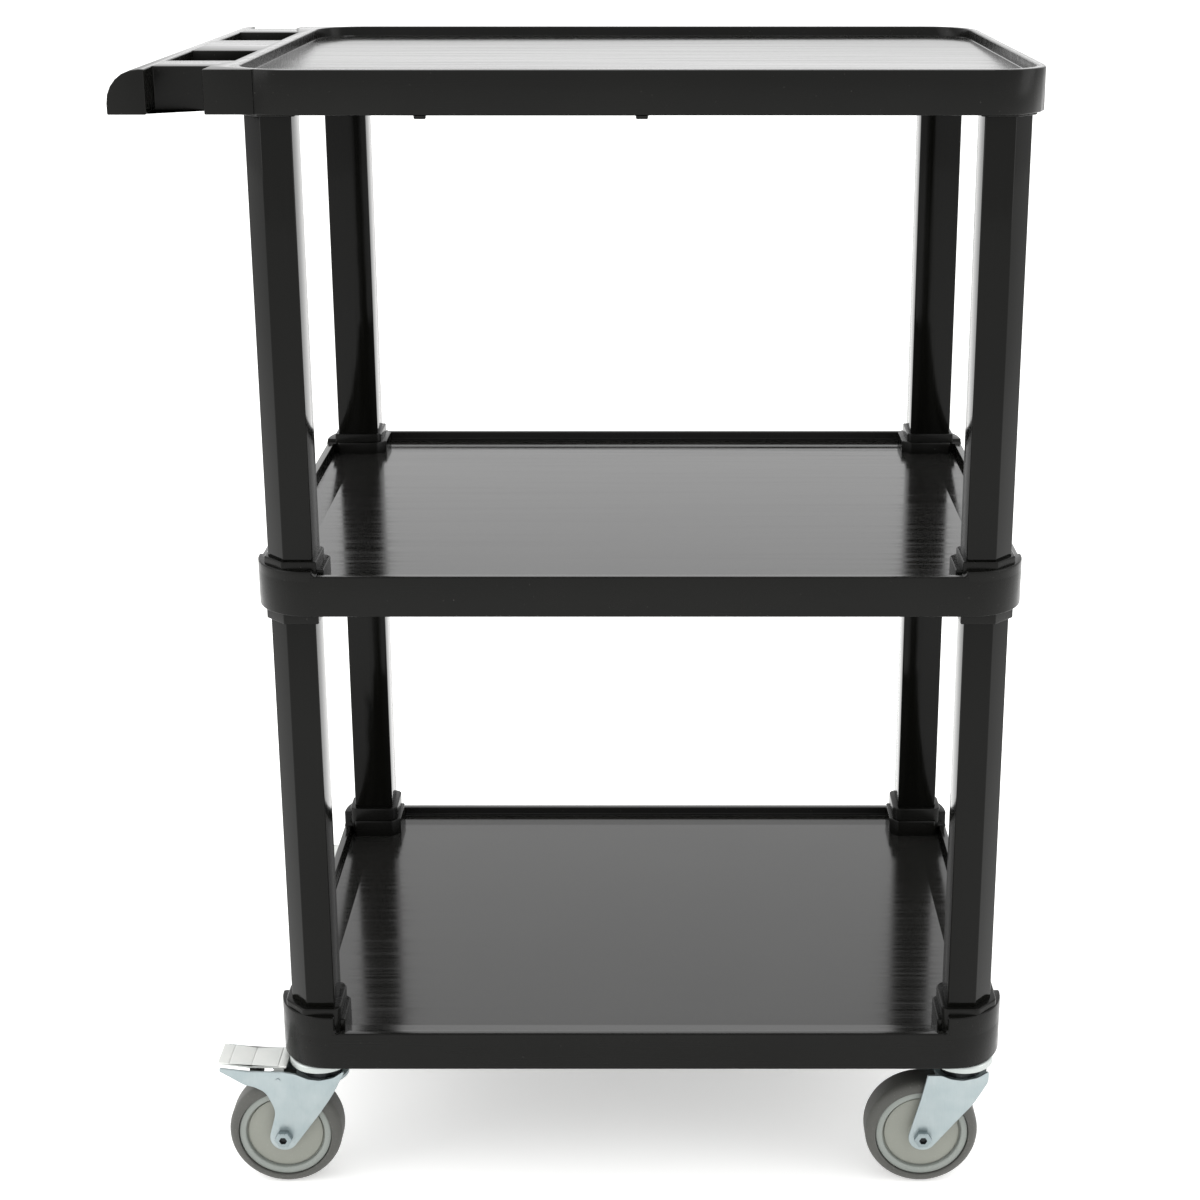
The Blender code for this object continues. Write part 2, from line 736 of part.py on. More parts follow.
def fork(corner, braked, swivel):
    """Pressed fork: round crown over the wheel and a plate down each side to the axle."""
    half_gap = FORK_GAP / 2
    outline = fork_side(braked)
    sheet = prisms(
        f"fork_{corner}",
        [
            (outline, half_gap, half_gap + FORK_PLATE),
            (outline, -half_gap - FORK_PLATE, -half_gap),
        ],
        ZINC,
        parent=swivel,
        upright="Y",
    )
    crown_outline = [
        (x, max(-half_gap - OVERLAP, min(half_gap + OVERLAP, y)))
        for x, y in circle((0, 0), CROWN_RADIUS, ROUND_STEPS)
    ]
    crown = prisms(
        f"crown_{corner}",
        [(crown_outline, CROWN_TOP - CROWN_THICKNESS, CROWN_TOP - OVERLAP / 10)],
    )
    combine(sheet, "UNION", crown)
    pin_hole = circle((0, 0), KINGPIN_RADIUS + FIT)
    combine(
        sheet,
        "DIFFERENCE",
        prisms(f"kingpin_hole_{corner}", [(pin_hole, CROWN_TOP - PAST, CROWN_TOP + PAST)]),
    )
    cross_holes = [((-CASTER_TRAIL, AXLE_HEIGHT), AXLE_RADIUS)]
    if braked:
        cross_holes.append(((PEDAL_PIVOT_X, PEDAL_PIVOT_Z), PEDAL_PIN_RADIUS))
    shapes = [
        (circle(centre, radius + FIT), -half_gap - PAST, half_gap + PAST)
        for centre, radius in cross_holes
    ]
    combine(sheet, "DIFFERENCE", prisms(f"fork_holes_{corner}", shapes, upright="Y"))


def ball_race(corner, swivel):
    """Ring of the swivel bearing between the crown and the cup."""
    profile = ring_profile(
        RACE_INNER_RADIUS, RACE_OUTER_RADIUS, CROWN_TOP + FIT, CASTER_MOUNT - CUP_WALL - 2 * FIT
    )
    turned(f"ball_race_{corner}", profile, ROUND_STEPS, DARK_STEEL, (0, 0, 0), swivel)


def axle_set(corner, swivel):
    """Axle bolt, its nut and the bush that the wheel turns on."""
    centre = (-CASTER_TRAIL, 0, AXLE_HEIGHT)
    outer = FORK_GAP / 2 + FORK_PLATE + FIT
    bush_half = FORK_GAP / 2 - FIT
    bush = ring_profile(AXLE_RADIUS + FIT, AXLE_RADIUS + FIT + BUSH_WALL, -bush_half, bush_half)
    turned(f"axle_bush_{corner}", bush, SMALL_ROUND_STEPS, ZINC, centre, swivel, along_y=True)
    shank = circle((0, 0), AXLE_RADIUS)
    bolt = prisms(
        f"axle_bolt_{corner}",
        [(hexagon(HEX_RADIUS), -outer - HEAD_HEIGHT, -outer)],
        ZINC,
        centre,
        swivel,
        upright="Y",
    )
    shank_end = outer + NUT_HEIGHT + OVERLAP
    combine(
        bolt,
        "UNION",
        prisms(f"axle_shank_{corner}", [(shank, -outer - OVERLAP, shank_end)], upright="Y"),
    )
    nut = prisms(
        f"axle_nut_{corner}",
        [(hexagon(HEX_RADIUS), outer, outer + NUT_HEIGHT)],
        ZINC,
        centre,
        swivel,
        upright="Y",
    )
    thread = [(circle((0, 0), AXLE_RADIUS + FIT), outer - PAST, outer + PAST)]
    combine(nut, "DIFFERENCE", prisms(f"axle_thread_{corner}", thread, upright="Y"))


def wheel(corner, axle):
    """Moulded wheel centre and the tyre round it."""
    bore = AXLE_RADIUS + BUSH_WALL + 2 * FIT
    rim_half = TYRE_WIDTH / 2 - HUB_RIM_SINK
    disc_half = TYRE_WIDTH / 2 - HUB_DISC_SINK
    boss_half = TYRE_WIDTH / 2 - 2 * FIT
    half = [
        (HUB_RADIUS, rim_half),
        (HUB_RADIUS - HUB_RIM_DEPTH, rim_half),
        (HUB_RADIUS - HUB_RIM_DEPTH, disc_half),
        (HUB_BOSS_RADIUS, disc_half),
        (HUB_BOSS_RADIUS, boss_half),
        (bore, boss_half),
    ]
    profile = [(r, -h) for r, h in half] + half[::-1]
    turned(f"wheel_hub_{corner}", profile, WHEEL_STEPS, GREY_PLASTIC, (0, 0, 0), axle, along_y=True)
    radius = WHEEL_DIAMETER / 2
    shoulder = arc((radius - TYRE_SHOULDER, TYRE_WIDTH / 2 - TYRE_SHOULDER), TYRE_SHOULDER, 90, 0, 3)
    upper = [(HUB_RADIUS + FIT, rim_half), (HUB_RADIUS + TYRE_SHOULDER / 4, TYRE_WIDTH / 2)]
    upper += [point for point in shoulder if point[0] > upper[-1][0]]
    profile = upper + [(r, -h) for r, h in upper[::-1]]
    turned(f"tyre_{corner}", profile, WHEEL_STEPS, GREY_RUBBER, (0, 0, 0), axle, along_y=True)


# ---------------------------------------------------------------- brake


def pedal_side():
    """Side view of the pedal plate in X and Z, about the swivel axis, lifted at its tip."""
    inner = -CUP_RADIUS - PEDAL_CUP_GAP
    bend = inner - (PEDAL_REACH + inner) * PEDAL_BEND_SHARE
    low = PEDAL_UNDERSIDE
    tip = low + PEDAL_TIP_LIFT
    return [
        (-PEDAL_REACH, tip),
        (bend, low + PEDAL_BEND_LIFT),
        (inner, low),
        (inner, low + PEDAL_PLATE),
        (bend, low + PEDAL_BEND_LIFT + PEDAL_PLATE),
        (-PEDAL_REACH, tip + PEDAL_PLATE),
    ]


def pedal_from_pivot(points):
    """Shift a side view from the swivel axis to the pedal's own pivot."""
    return [(x - PEDAL_PIVOT_X, z - PEDAL_PIVOT_Z) for x, z in points]


def brake_pedal(corner, pivot):
    """Foot plate with two lugs that hang on the pivot pin."""
    half = PEDAL_WIDTH / 2
    pedal = prisms(
        f"brake_pedal_{corner}",
        [(pedal_from_pivot(pedal_side()), -half, half)],
        WHITE_ZINC,
        parent=pivot,
        upright="Y",
    )
    eye = PEDAL_EYE_RADIUS
    lug_top = PEDAL_UNDERSIDE - PEDAL_PIVOT_Z + PEDAL_PLATE / 2
    lug = [(eye, lug_top), (-eye, lug_top)] + arc((0, 0), eye, 180, 360)
    inner = half - PEDAL_LUG
    lugs = [(lug, -half + OVERLAP / 2, -inner), (lug, inner, half - OVERLAP / 2)]
    combine(pedal, "UNION", prisms(f"pedal_lugs_{corner}", lugs, upright="Y"))
    eye_hole = circle((0, 0), PEDAL_PIN_RADIUS + FIT)
    combine(
        pedal,
        "DIFFERENCE",
        prisms(f"pedal_eyes_{corner}", [(eye_hole, -half - PAST, half + PAST)], upright="Y"),
    )


def brake_shoe(corner, pivot):
    """Block under the pedal plate that is pressed on to the tyre's tread."""
    radius = WHEEL_DIAMETER / 2 + SHOE_GAP
    start = SHOE_ANGLE - SHOE_SPAN / 2
    face = arc((-CASTER_TRAIL, AXLE_HEIGHT), radius, start, start + SHOE_SPAN, 3)
    top = PEDAL_UNDERSIDE - FIT
    outline = face + [(face[-1][0], top), (face[0][0], top)]
    prisms(
        f"brake_shoe_{corner}",
        [(pedal_from_pivot(outline), -SHOE_WIDTH / 2, SHOE_WIDTH / 2)],
        GREY_RUBBER,
        parent=pivot,
        upright="Y",
    )


def pedal_pin(corner, swivel):
    """Pin through the fork's ears that the pedal turns on."""
    half = FORK_GAP / 2 + FORK_PLATE + OVERLAP
    profile = [(0, half), (PEDAL_PIN_RADIUS, half), (PEDAL_PIN_RADIUS, -half), (0, -half)]
    turned(
        f"pedal_pin_{corner}",
        profile,
        SMALL_ROUND_STEPS,
        DARK_STEEL,
        (PEDAL_PIVOT_X, 0, PEDAL_PIVOT_Z),
        swivel,
        along_y=True,
        closed=False,
    )


# ---------------------------------------------------------------- assembly


def joint_empty(name, location, parent=None):
    """Empty on a joint's axis that carries the pieces that move with it."""
    empty = bpy.data.objects.new(name, None)
    PARTS.objects.link(empty)
    empty.location = location
    empty.parent = parent
    return empty


def caster(corner, side, end):
    """One swivel caster, with a pedal brake at the handle end."""
    axis = caster_axis(side, end)
    braked = corner in BRAKED_CORNERS
    stem_socket(corner, side, end)
    caster_stem(corner, axis)
    top_cup(corner, axis)
    swivel = joint_empty(f"swivel_{corner}", (*axis, 0))
    fork(corner, braked, swivel)
    ball_race(corner, swivel)
    axle_set(corner, swivel)
    axle = joint_empty(f"axle_{corner}", (-CASTER_TRAIL, 0, AXLE_HEIGHT), swivel)
    wheel(corner, axle)
    if braked:
        pivot = joint_empty(f"pedal_pivot_{corner}", (PEDAL_PIVOT_X, 0, PEDAL_PIVOT_Z), swivel)
        brake_pedal(corner, pivot)
        brake_shoe(corner, pivot)
        pedal_pin(corner, swivel)


def smooth_round_pieces():
    """Shade the turned and moulded pieces smooth up to their sharp edges."""
    for thing in PARTS.objects:
        if thing.type == "MESH" and thing.data.polygons:
            thing.data.shade_smooth()
            thing.data.set_sharp_from_angle(angle=math.radians(30))


top_shelf()
middle_shelf()
bottom_shelf()
for corner_name, (corner_side, corner_end) in CORNERS.items():
    legs(corner_name, corner_side, corner_end)
    caster(corner_name, corner_side, corner_end)
smooth_round_pieces()
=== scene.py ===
"""Looks of the three-shelf moulded utility trolley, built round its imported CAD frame.

Metres, +Z up, in the frame's own axes: the push handle is at -X and Y is the short way.
"""

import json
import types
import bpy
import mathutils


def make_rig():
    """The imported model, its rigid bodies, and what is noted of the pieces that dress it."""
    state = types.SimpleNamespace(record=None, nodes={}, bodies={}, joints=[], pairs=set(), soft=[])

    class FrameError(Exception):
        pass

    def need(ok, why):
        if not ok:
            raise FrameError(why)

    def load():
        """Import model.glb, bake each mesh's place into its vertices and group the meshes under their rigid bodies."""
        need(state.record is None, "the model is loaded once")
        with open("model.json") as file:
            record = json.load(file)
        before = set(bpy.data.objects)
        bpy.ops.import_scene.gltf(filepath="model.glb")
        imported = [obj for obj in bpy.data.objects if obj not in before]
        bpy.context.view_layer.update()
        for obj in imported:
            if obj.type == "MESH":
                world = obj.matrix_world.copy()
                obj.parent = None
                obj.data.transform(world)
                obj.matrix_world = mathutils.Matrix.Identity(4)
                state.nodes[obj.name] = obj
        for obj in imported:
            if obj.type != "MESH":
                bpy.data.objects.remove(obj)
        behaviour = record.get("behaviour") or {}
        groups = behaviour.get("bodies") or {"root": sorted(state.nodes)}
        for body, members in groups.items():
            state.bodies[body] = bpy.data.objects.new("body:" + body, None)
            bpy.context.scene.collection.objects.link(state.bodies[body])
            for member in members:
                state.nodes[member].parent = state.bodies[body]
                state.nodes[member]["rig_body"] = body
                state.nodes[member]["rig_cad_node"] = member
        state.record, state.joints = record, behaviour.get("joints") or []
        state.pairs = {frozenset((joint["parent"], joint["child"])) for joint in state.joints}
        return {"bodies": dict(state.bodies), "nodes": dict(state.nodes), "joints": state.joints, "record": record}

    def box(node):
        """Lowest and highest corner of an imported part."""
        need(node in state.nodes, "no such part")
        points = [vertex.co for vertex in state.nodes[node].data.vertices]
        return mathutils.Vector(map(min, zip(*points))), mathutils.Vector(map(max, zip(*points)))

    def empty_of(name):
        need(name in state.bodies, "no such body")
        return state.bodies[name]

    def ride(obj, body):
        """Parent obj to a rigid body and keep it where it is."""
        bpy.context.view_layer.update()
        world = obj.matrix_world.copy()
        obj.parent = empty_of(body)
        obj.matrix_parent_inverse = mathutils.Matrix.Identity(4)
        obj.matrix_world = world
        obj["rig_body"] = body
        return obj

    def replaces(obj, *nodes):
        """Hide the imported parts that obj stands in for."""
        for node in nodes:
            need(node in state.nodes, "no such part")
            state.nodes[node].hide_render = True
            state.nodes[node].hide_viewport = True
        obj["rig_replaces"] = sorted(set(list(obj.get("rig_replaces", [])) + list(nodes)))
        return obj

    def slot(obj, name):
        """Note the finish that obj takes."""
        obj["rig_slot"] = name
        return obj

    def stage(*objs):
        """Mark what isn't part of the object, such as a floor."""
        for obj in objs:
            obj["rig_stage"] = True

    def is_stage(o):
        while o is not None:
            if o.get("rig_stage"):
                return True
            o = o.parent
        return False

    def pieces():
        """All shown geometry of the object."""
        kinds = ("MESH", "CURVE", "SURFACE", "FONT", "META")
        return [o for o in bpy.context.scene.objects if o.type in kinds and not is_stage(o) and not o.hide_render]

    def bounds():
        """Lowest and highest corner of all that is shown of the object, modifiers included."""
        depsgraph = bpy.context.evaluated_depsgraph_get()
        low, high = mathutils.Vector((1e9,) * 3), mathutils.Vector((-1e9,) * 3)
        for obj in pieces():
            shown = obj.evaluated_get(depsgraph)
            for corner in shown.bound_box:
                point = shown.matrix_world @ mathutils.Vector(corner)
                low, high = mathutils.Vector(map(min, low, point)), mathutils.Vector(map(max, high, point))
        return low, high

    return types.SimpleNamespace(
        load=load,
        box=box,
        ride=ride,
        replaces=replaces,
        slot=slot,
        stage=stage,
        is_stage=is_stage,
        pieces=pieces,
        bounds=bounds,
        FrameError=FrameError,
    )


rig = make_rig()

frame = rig.load()

import json
import math

import bmesh
import bpy
import numpy as np

CAD_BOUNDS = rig.bounds()


# ================================================================ studio
# A plain pale floor that runs out to the horizon, an even white sky and three large soft
# lights.  The camera stands a little above the top tray, in front of the long side.

scene = bpy.context.scene


def linear(code):
    """An sRGB hex colour as linear red, green, blue and alpha."""
    channels = np.array([int(code[k : k + 2], 16) for k in (1, 3, 5)]) / 255
    values = np.where(channels <= 0.04045, channels / 12.92, ((channels + 0.055) / 1.055) ** 2.4)
    return (*values.tolist(), 1.0)


def add(tree, kind, feeds=None, **settings):
    """Adds one node with its settings; feeds gives each input a value or another node's output.

    An input is named, or counted where its name repeats: a colour Mix has its factor at 0,
    its two colours at 6 and 7, and its result at output 2.
    """
    made = tree.nodes.new(kind)
    for name, value in settings.items():
        setattr(made, name, value)
    for socket, source in (feeds or {}).items():
        if isinstance(source, bpy.types.NodeSocket):
            tree.links.new(source, made.inputs[socket])
        else:
            made.inputs[socket].default_value = source
    return made


def new_material(name, **settings):
    """A material with its Principled shader, whose even settings go straight on its sockets."""
    material = bpy.data.materials.new(name)
    material.use_nodes = True
    shader = material.node_tree.nodes["Principled BSDF"]
    for socket, value in settings.items():
        shader.inputs[socket.replace("_", " ")].default_value = value
    return material, material.node_tree, shader


FLOOR_REACH = 30.0
FLOOR_MOTTLES_PER_METRE = 3.0
SKY_STRENGTH = 1.25
FLOOR_GLOW = 0.4
CAMERA_PLACE = (0.0619, -1.8115, 1.0815)
CAMERA_TILT = math.radians(73.46)
CAMERA_LENS = 64.2
CAMERA_SHIFT = (-0.0535, -0.0783)


def studio_floor():
    """A square of pale board, lightly mottled, whose own weak glow keeps shadows faint."""
    corners = [(-1, -1, 0), (1, -1, 0), (1, 1, 0), (-1, 1, 0)]
    mesh = bpy.data.meshes.new("studio_floor")
    mesh.from_pydata([(x * FLOOR_REACH, y * FLOOR_REACH, z) for x, y, z in corners], [], [(0, 1, 2, 3)])
    floor = bpy.data.objects.new("studio_floor", mesh)
    scene.collection.objects.link(floor)
    material, tree, shader = new_material("pale_lit_board", Roughness=0.8, Emission_Strength=FLOOR_GLOW)
    place = add(tree, "ShaderNodeTexCoord").outputs["Object"]
    mottle = add(tree, "ShaderNodeTexNoise", {"Vector": place, "Scale": FLOOR_MOTTLES_PER_METRE})
    shades = {0: mottle.outputs["Fac"], 6: linear("#f7f7f6"), 7: linear("#fbfbfa")}
    tone = add(tree, "ShaderNodeMix", shades, data_type="RGBA")
    tree.links.new(tone.outputs[2], shader.inputs["Base Color"])
    tree.links.new(tone.outputs[2], shader.inputs["Emission Color"])
    mesh.materials.append(material)
    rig.stage(floor)


def soft_light(name, place, aim, size, power):
    """A square soft light that faces a point."""
    light = bpy.data.lights.new(name, "AREA")
    light.energy = power
    light.size = size
    holder = bpy.data.objects.new(name, light)
    scene.collection.objects.link(holder)
    holder.location = place
    facing = np.subtract(aim, place)
    level = math.hypot(facing[0], facing[1])
    holder.rotation_euler = (
        math.atan2(level, -facing[2]),
        0.0,
        math.atan2(facing[1], facing[0]) - math.pi / 2,
    )


studio_floor()
sky = bpy.data.worlds.new("white_sky")
sky.use_nodes = True
sky.node_tree.nodes["Background"].inputs["Color"].default_value = linear("#ffffff")
sky.node_tree.nodes["Background"].inputs["Strength"].default_value = SKY_STRENGTH
scene.world = sky
scene.view_settings.view_transform = "Standard"
soft_light("left_softbox", place=(-2.6, -1.2, 1.6), aim=(0, 0, 0.4), size=1.6, power=20)
soft_light("right_softbox", place=(2.6, -0.9, 1.3), aim=(0, 0, 0.4), size=1.4, power=13)
soft_light("top_softbox", place=(0.2, 0.6, 3.0), aim=(0, 0, 0), size=2.0, power=24)
lens = bpy.data.cameras.new("camera")
lens.lens = CAMERA_LENS
lens.shift_x, lens.shift_y = CAMERA_SHIFT
camera = bpy.data.objects.new("camera", lens)
scene.collection.objects.link(camera)
camera.location = CAMERA_PLACE
camera.rotation_euler = (CAMERA_TILT, 0, 0)
scene.camera = camera


# ================================================================ trays
# The lower two of three trays of black polypropylene, injection moulded in one piece each.
# A square-edged rim stands round a sunk deck, and the apron hangs below it with ribs behind.

MM = 0.001
TRAY_RADIUS = 46 * MM
RIM_WIDTH = 7 * MM
RIM_LIP = 8.6 * MM
APRON_HEIGHT = 33 * MM
APRON_WALL = 4 * MM
DECK_THICKNESS = 4 * MM
DECK_START = 30 * MM
UNDER_FILLET = 2 * MM
APRON_INNER_EDGE = 0.8 * MM
APRON_EDGE = 1 * MM
RIM_EDGE = 1.3 * MM
DECK_FILLET = 2.5 * MM
TINY = 0.02 * MM


def rounded(corners, radii, steps=6):
    """Outline with round corners, and its outward normals.

    Each corner is cut back along both sides by its radius times the tangent of half the turn,
    and the heading then turns evenly from one side to the other on an arc between the cuts.
    """
    corners = np.asarray(corners, float)
    radii = np.broadcast_to(np.asarray(radii, float), len(corners))
    arriving = corners - np.roll(corners, 1, 0)
    leaving = np.roll(corners, -1, 0) - corners
    heading = np.arctan2(arriving[:, 1], arriving[:, 0])
    turn = np.arctan2(leaving[:, 1], leaving[:, 0]) - heading
    turn = (turn + math.pi) % (2 * math.pi) - math.pi
    arriving /= np.linalg.norm(arriving, axis=1, keepdims=True)
    start = corners - arriving * (radii * np.tan(np.abs(turn) / 2))[:, None]
    angles = heading[:, None] + turn[:, None] * np.linspace(0, 1, steps + 1)
    normals = np.stack((np.sin(angles), -np.cos(angles)), -1)
    bulge = (radii * np.sign(turn))[:, None, None]
    points = (start[:, None] - normals[:, :1] * bulge) + normals * bulge
    return points.reshape(-1, 2), normals.reshape(-1, 2)


def rectangle(low_x, low_y, high_x, high_y):
    """Anticlockwise corners of a rectangle."""
    return [(low_x, low_y), (high_x, low_y), (high_x, high_y), (low_x, high_y)]


def skin(name, rings, material, body, slot, stands_for=(), closed=False, sharp=40):
    """Joins neighbouring rings of points with four-sided faces.

    The last ring is joined back to the first where the section is closed, and otherwise
    the first and the last ring are each filled with one flat face.
    """
    count, around = rings.shape[:2]
    index = np.arange(count * around).reshape(count, around)
    if closed:
        index = np.vstack((index, index[:1]))
    onward = np.roll(index, -1, 1)
    faces = np.stack((index[:-1], onward[:-1], onward[1:], index[1:]), -1).reshape(-1, 4).tolist()
    if not closed:
        faces += [index[0][::-1].tolist(), index[-1].tolist()]
    mesh = bpy.data.meshes.new(name)
    mesh.from_pydata(rings.reshape(-1, 3).tolist(), [], faces)
    return finish_piece(name, mesh, material, body, slot, stands_for, sharp)


def finish_piece(name, mesh, material, body, slot, stands_for, sharp):
    """Turns faces outwards, shades up to sharp edges, and puts the piece on its body."""
    shape = bmesh.new()
    shape.from_mesh(mesh)
    bmesh.ops.recalc_face_normals(shape, faces=shape.faces)
    shape.to_mesh(mesh)
    shape.free()
    mesh.shade_smooth()
    mesh.set_sharp_from_angle(angle=math.radians(sharp))
    mesh.materials.append(material)
    piece = bpy.data.objects.new(name, mesh)
    scene.collection.objects.link(piece)
    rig.ride(piece, body)
    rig.slot(piece, slot)
    if stands_for:
        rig.replaces(piece, *stands_for)
    return piece


def carried(path, section, at=(0, 0, 0), upright="Z"):
    """Rings of a section (inset, height) carried round a path.

    Every path point moves inwards along its normal by the section's inset and up by its
    height; upright Y lays the path in X and Z and carries the height along Y.
    """
    points, normals = path
    flat = points[None] - normals[None] * section[:, 0][:, None, None]
    height = np.broadcast_to(section[:, 1][:, None], flat.shape[:2])
    if upright == "Z":
        grid = np.stack((flat[..., 0], flat[..., 1], height), -1)
    else:
        grid = np.stack((flat[..., 0], height, flat[..., 1]), -1)
    return grid + np.asarray(at, float)


def edged(low, high, edge, steps=3):
    """Section of a block whose upper and lower edges are rounded with a quarter circle."""
    turn = np.linspace(0, math.pi / 2, steps + 1)
    inset = edge * (1 - np.sin(turn))
    rise = edge * (1 - np.cos(turn))
    lower = np.stack((inset, low + rise), -1)
    upper = np.stack((inset[::-1], high - rise[::-1]), -1)
    return np.vstack((lower, upper))


def black_resin(name, dark, light, gloss_range, **settings):
    """Black polypropylene, which gives a near-black that turns pale at a grazing angle.

    Cloudy patches a hand wide change its tone, flow marks 4 mm apart run along the tray and
    change its gloss, and 1 mm etched grain and a few small pale scuffs break the shine.
    """
    material, tree, shader = new_material(name, **settings)
    place = add(tree, "ShaderNodeTexCoord").outputs["Object"]
    clouds = add(tree, "ShaderNodeTexNoise", {"Vector": place, "Scale": 1 / (90 * MM), "Detail": 3.0})
    shades = {0: clouds.outputs["Fac"], 6: linear(dark), 7: linear(light)}
    tone = add(tree, "ShaderNodeMix", shades, data_type="RGBA")
    specks = add(tree, "ShaderNodeTexNoise", {"Vector": place, "Scale": 1 / (2.6 * MM), "Detail": 2.0})
    reach = {"Value": specks.outputs["Fac"], "From Min": 0.72, "From Max": 0.88}
    scuff = add(tree, "ShaderNodeMapRange", reach)
    shades = {0: scuff.outputs["Result"], 6: tone.outputs[2], 7: linear("#4b4b47")}
    scuffed = add(tree, "ShaderNodeMix", shades, data_type="RGBA")
    lanes = (1 / (250 * MM), 1 / (4 * MM), 1 / (12 * MM))
    along = add(tree, "ShaderNodeMapping", {"Vector": place, "Scale": lanes})
    flow = add(tree, "ShaderNodeTexNoise", {"Vector": along.outputs["Vector"], "Scale": 1.0, "Detail": 1.5})
    reach = {"Value": flow.outputs["Fac"], "From Min": 0.3, "From Max": 0.7}
    reach["To Min"], reach["To Max"] = gloss_range
    gloss = add(tree, "ShaderNodeMapRange", reach)
    grain = add(tree, "ShaderNodeTexNoise", {"Vector": place, "Scale": 1 / (1 * MM), "Detail": 2.0})
    relief = {"Height": grain.outputs["Fac"], "Strength": 0.02, "Distance": 0.1 * MM}
    bump = add(tree, "ShaderNodeBump", relief)
    tree.links.new(scuffed.outputs[2], shader.inputs["Base Color"])
    tree.links.new(gloss.outputs["Result"], shader.inputs["Roughness"])
    tree.links.new(bump.outputs["Normal"], shader.inputs["Normal"])
    return material


APRON_RESIN = black_resin(
    "etched_black_polypropylene", "#090908", "#10100e", (0.20, 0.30), IOR=1.5, Specular_IOR_Level=0.14
)
# The deck resin is smoother and also lighter in colour than the apron's: the lighter colour is painted light for the
# faces that look up.
DECK_RESIN_PAINTED_LIGHTER = black_resin("worn_smooth_black_polypropylene", "#141413", "#20201e", (0.09, 0.19), IOR=1.56)
middle_low, middle_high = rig.box("middle_shelf")
TRAY_CENTRE_X = (middle_low.x + middle_high.x) / 2
HALF_LENGTH = (middle_high.x - middle_low.x) / 2
HALF_WIDTH = (middle_high.y - middle_low.y) / 2
MIDDLE_COLLAR_RISE = 9.5 * MM
BOTTOM_COLLAR_RISE = 19.5 * MM
MIDDLE_RIM = middle_high.z - MIDDLE_COLLAR_RISE
BOTTOM_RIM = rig.box("bottom_shelf")[1].z - BOTTOM_COLLAR_RISE
NEARLY_UP = 0.9


def smooth_tops_painted_lighter(piece):
    """Gives the faces that look straight up a smoother finish and a lighter colour, which is painted light on the
    upward faces.
    """
    piece.data.materials.append(DECK_RESIN_PAINTED_LIGHTER)
    normals = np.zeros(len(piece.data.polygons) * 3, np.float32)
    piece.data.polygons.foreach_get("normal", normals)
    upward = (normals.reshape(-1, 3)[:, 2] > NEARLY_UP).astype(np.int32)
    piece.data.polygons.foreach_set("material_index", upward)
    return piece


def tray_shell(name, rim_height):
    """One tray: its section runs from under the deck, down the apron and back over the rim.

    Each corner of the section is its inset, its height and the radius that rounds it.
    """
    reach_x = HALF_LENGTH - TINY
    reach_y = HALF_WIDTH - TINY
    path = rounded(rectangle(-reach_x, -reach_y, reach_x, reach_y), TRAY_RADIUS, steps=12)
    under = -RIM_LIP - DECK_THICKNESS
    corners = np.array(
        [
            (DECK_START, under, TINY),
            (APRON_WALL, under, UNDER_FILLET),
            (APRON_WALL, -APRON_HEIGHT, APRON_INNER_EDGE),
            (0, -APRON_HEIGHT, APRON_EDGE),
            (0, 0, RIM_EDGE),
            (RIM_WIDTH, 0, RIM_EDGE),
            (RIM_WIDTH, -RIM_LIP, DECK_FILLET),
            (DECK_START, -RIM_LIP, TINY),
        ]
    )
    section = rounded(corners[:, :2], corners[:, 2], steps=4)[0]
    rings = carried(path, section, (TRAY_CENTRE_X, 0, rim_height))
    return smooth_tops_painted_lighter(skin(f"{name}_shell", rings, APRON_RESIN, "root", "tray_resin", (name,)))


tray_shell("middle_shelf", MIDDLE_RIM)
tray_shell("bottom_shelf", BOTTOM_RIM)


# ================================================================ underside ribs
# Under each deck run two long ribs and three cross ribs, moulded with the tray, that stop a
# loaded deck from sagging.

RIB_HALF = 1.5 * MM
RIB_DEPTH = 14 * MM
RIB_ROOT = 1 * MM
RIB_EDGE = 0.8 * MM
RIB_END_RADIUS = 1 * MM


def ribs(name, rim_height):
    """Straight ribs with rounded lower edges, from one apron to the other."""
    top = rim_height - RIM_LIP - DECK_THICKNESS + RIB_ROOT
    section = edged(top - RIB_DEPTH, top, RIB_EDGE)
    reach_x = HALF_LENGTH - APRON_WALL / 2
    reach_y = HALF_WIDTH - APRON_WALL / 2
    long_ribs = (-HALF_WIDTH / 3, HALF_WIDTH / 3)
    cross_ribs = (-HALF_LENGTH / 2, 0, HALF_LENGTH / 2)
    strips = [(-reach_x, y - RIB_HALF, reach_x, y + RIB_HALF) for y in long_ribs]
    strips += [(x - RIB_HALF, -reach_y, x + RIB_HALF, reach_y) for x in cross_ribs]
    for count, strip in enumerate(strips):
        path = rounded(rectangle(*strip), RIB_END_RADIUS, steps=2)
        rings = carried(path, section, (TRAY_CENTRE_X, 0, 0))
        skin(f"{name}_rib_{count}", rings, APRON_RESIN, "root", "tray_resin")


ribs("middle_shelf", MIDDLE_RIM)
ribs("bottom_shelf", BOTTOM_RIM)


# ================================================================ legs
# Eight hollow posts of glossy black polypropylene.  Each is a square tube with one broad
# chamfer that faces the trolley's corner, pressed into the trays' sockets.

CORNERS = {
    "front_left": (-1, -1),
    "front_right": (1, -1),
    "back_left": (-1, 1),
    "back_right": (1, 1),
}
LEG_HALF = (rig.box("upper_leg_front_left")[1].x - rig.box("upper_leg_front_left")[0].x) / 2
LEG_CHAMFER = 14.5 * MM
LEG_EDGE = 1.6 * MM
LEG_END_EDGE = 0.6 * MM
POLISHED_GLOSS = (0.07, 0.17)


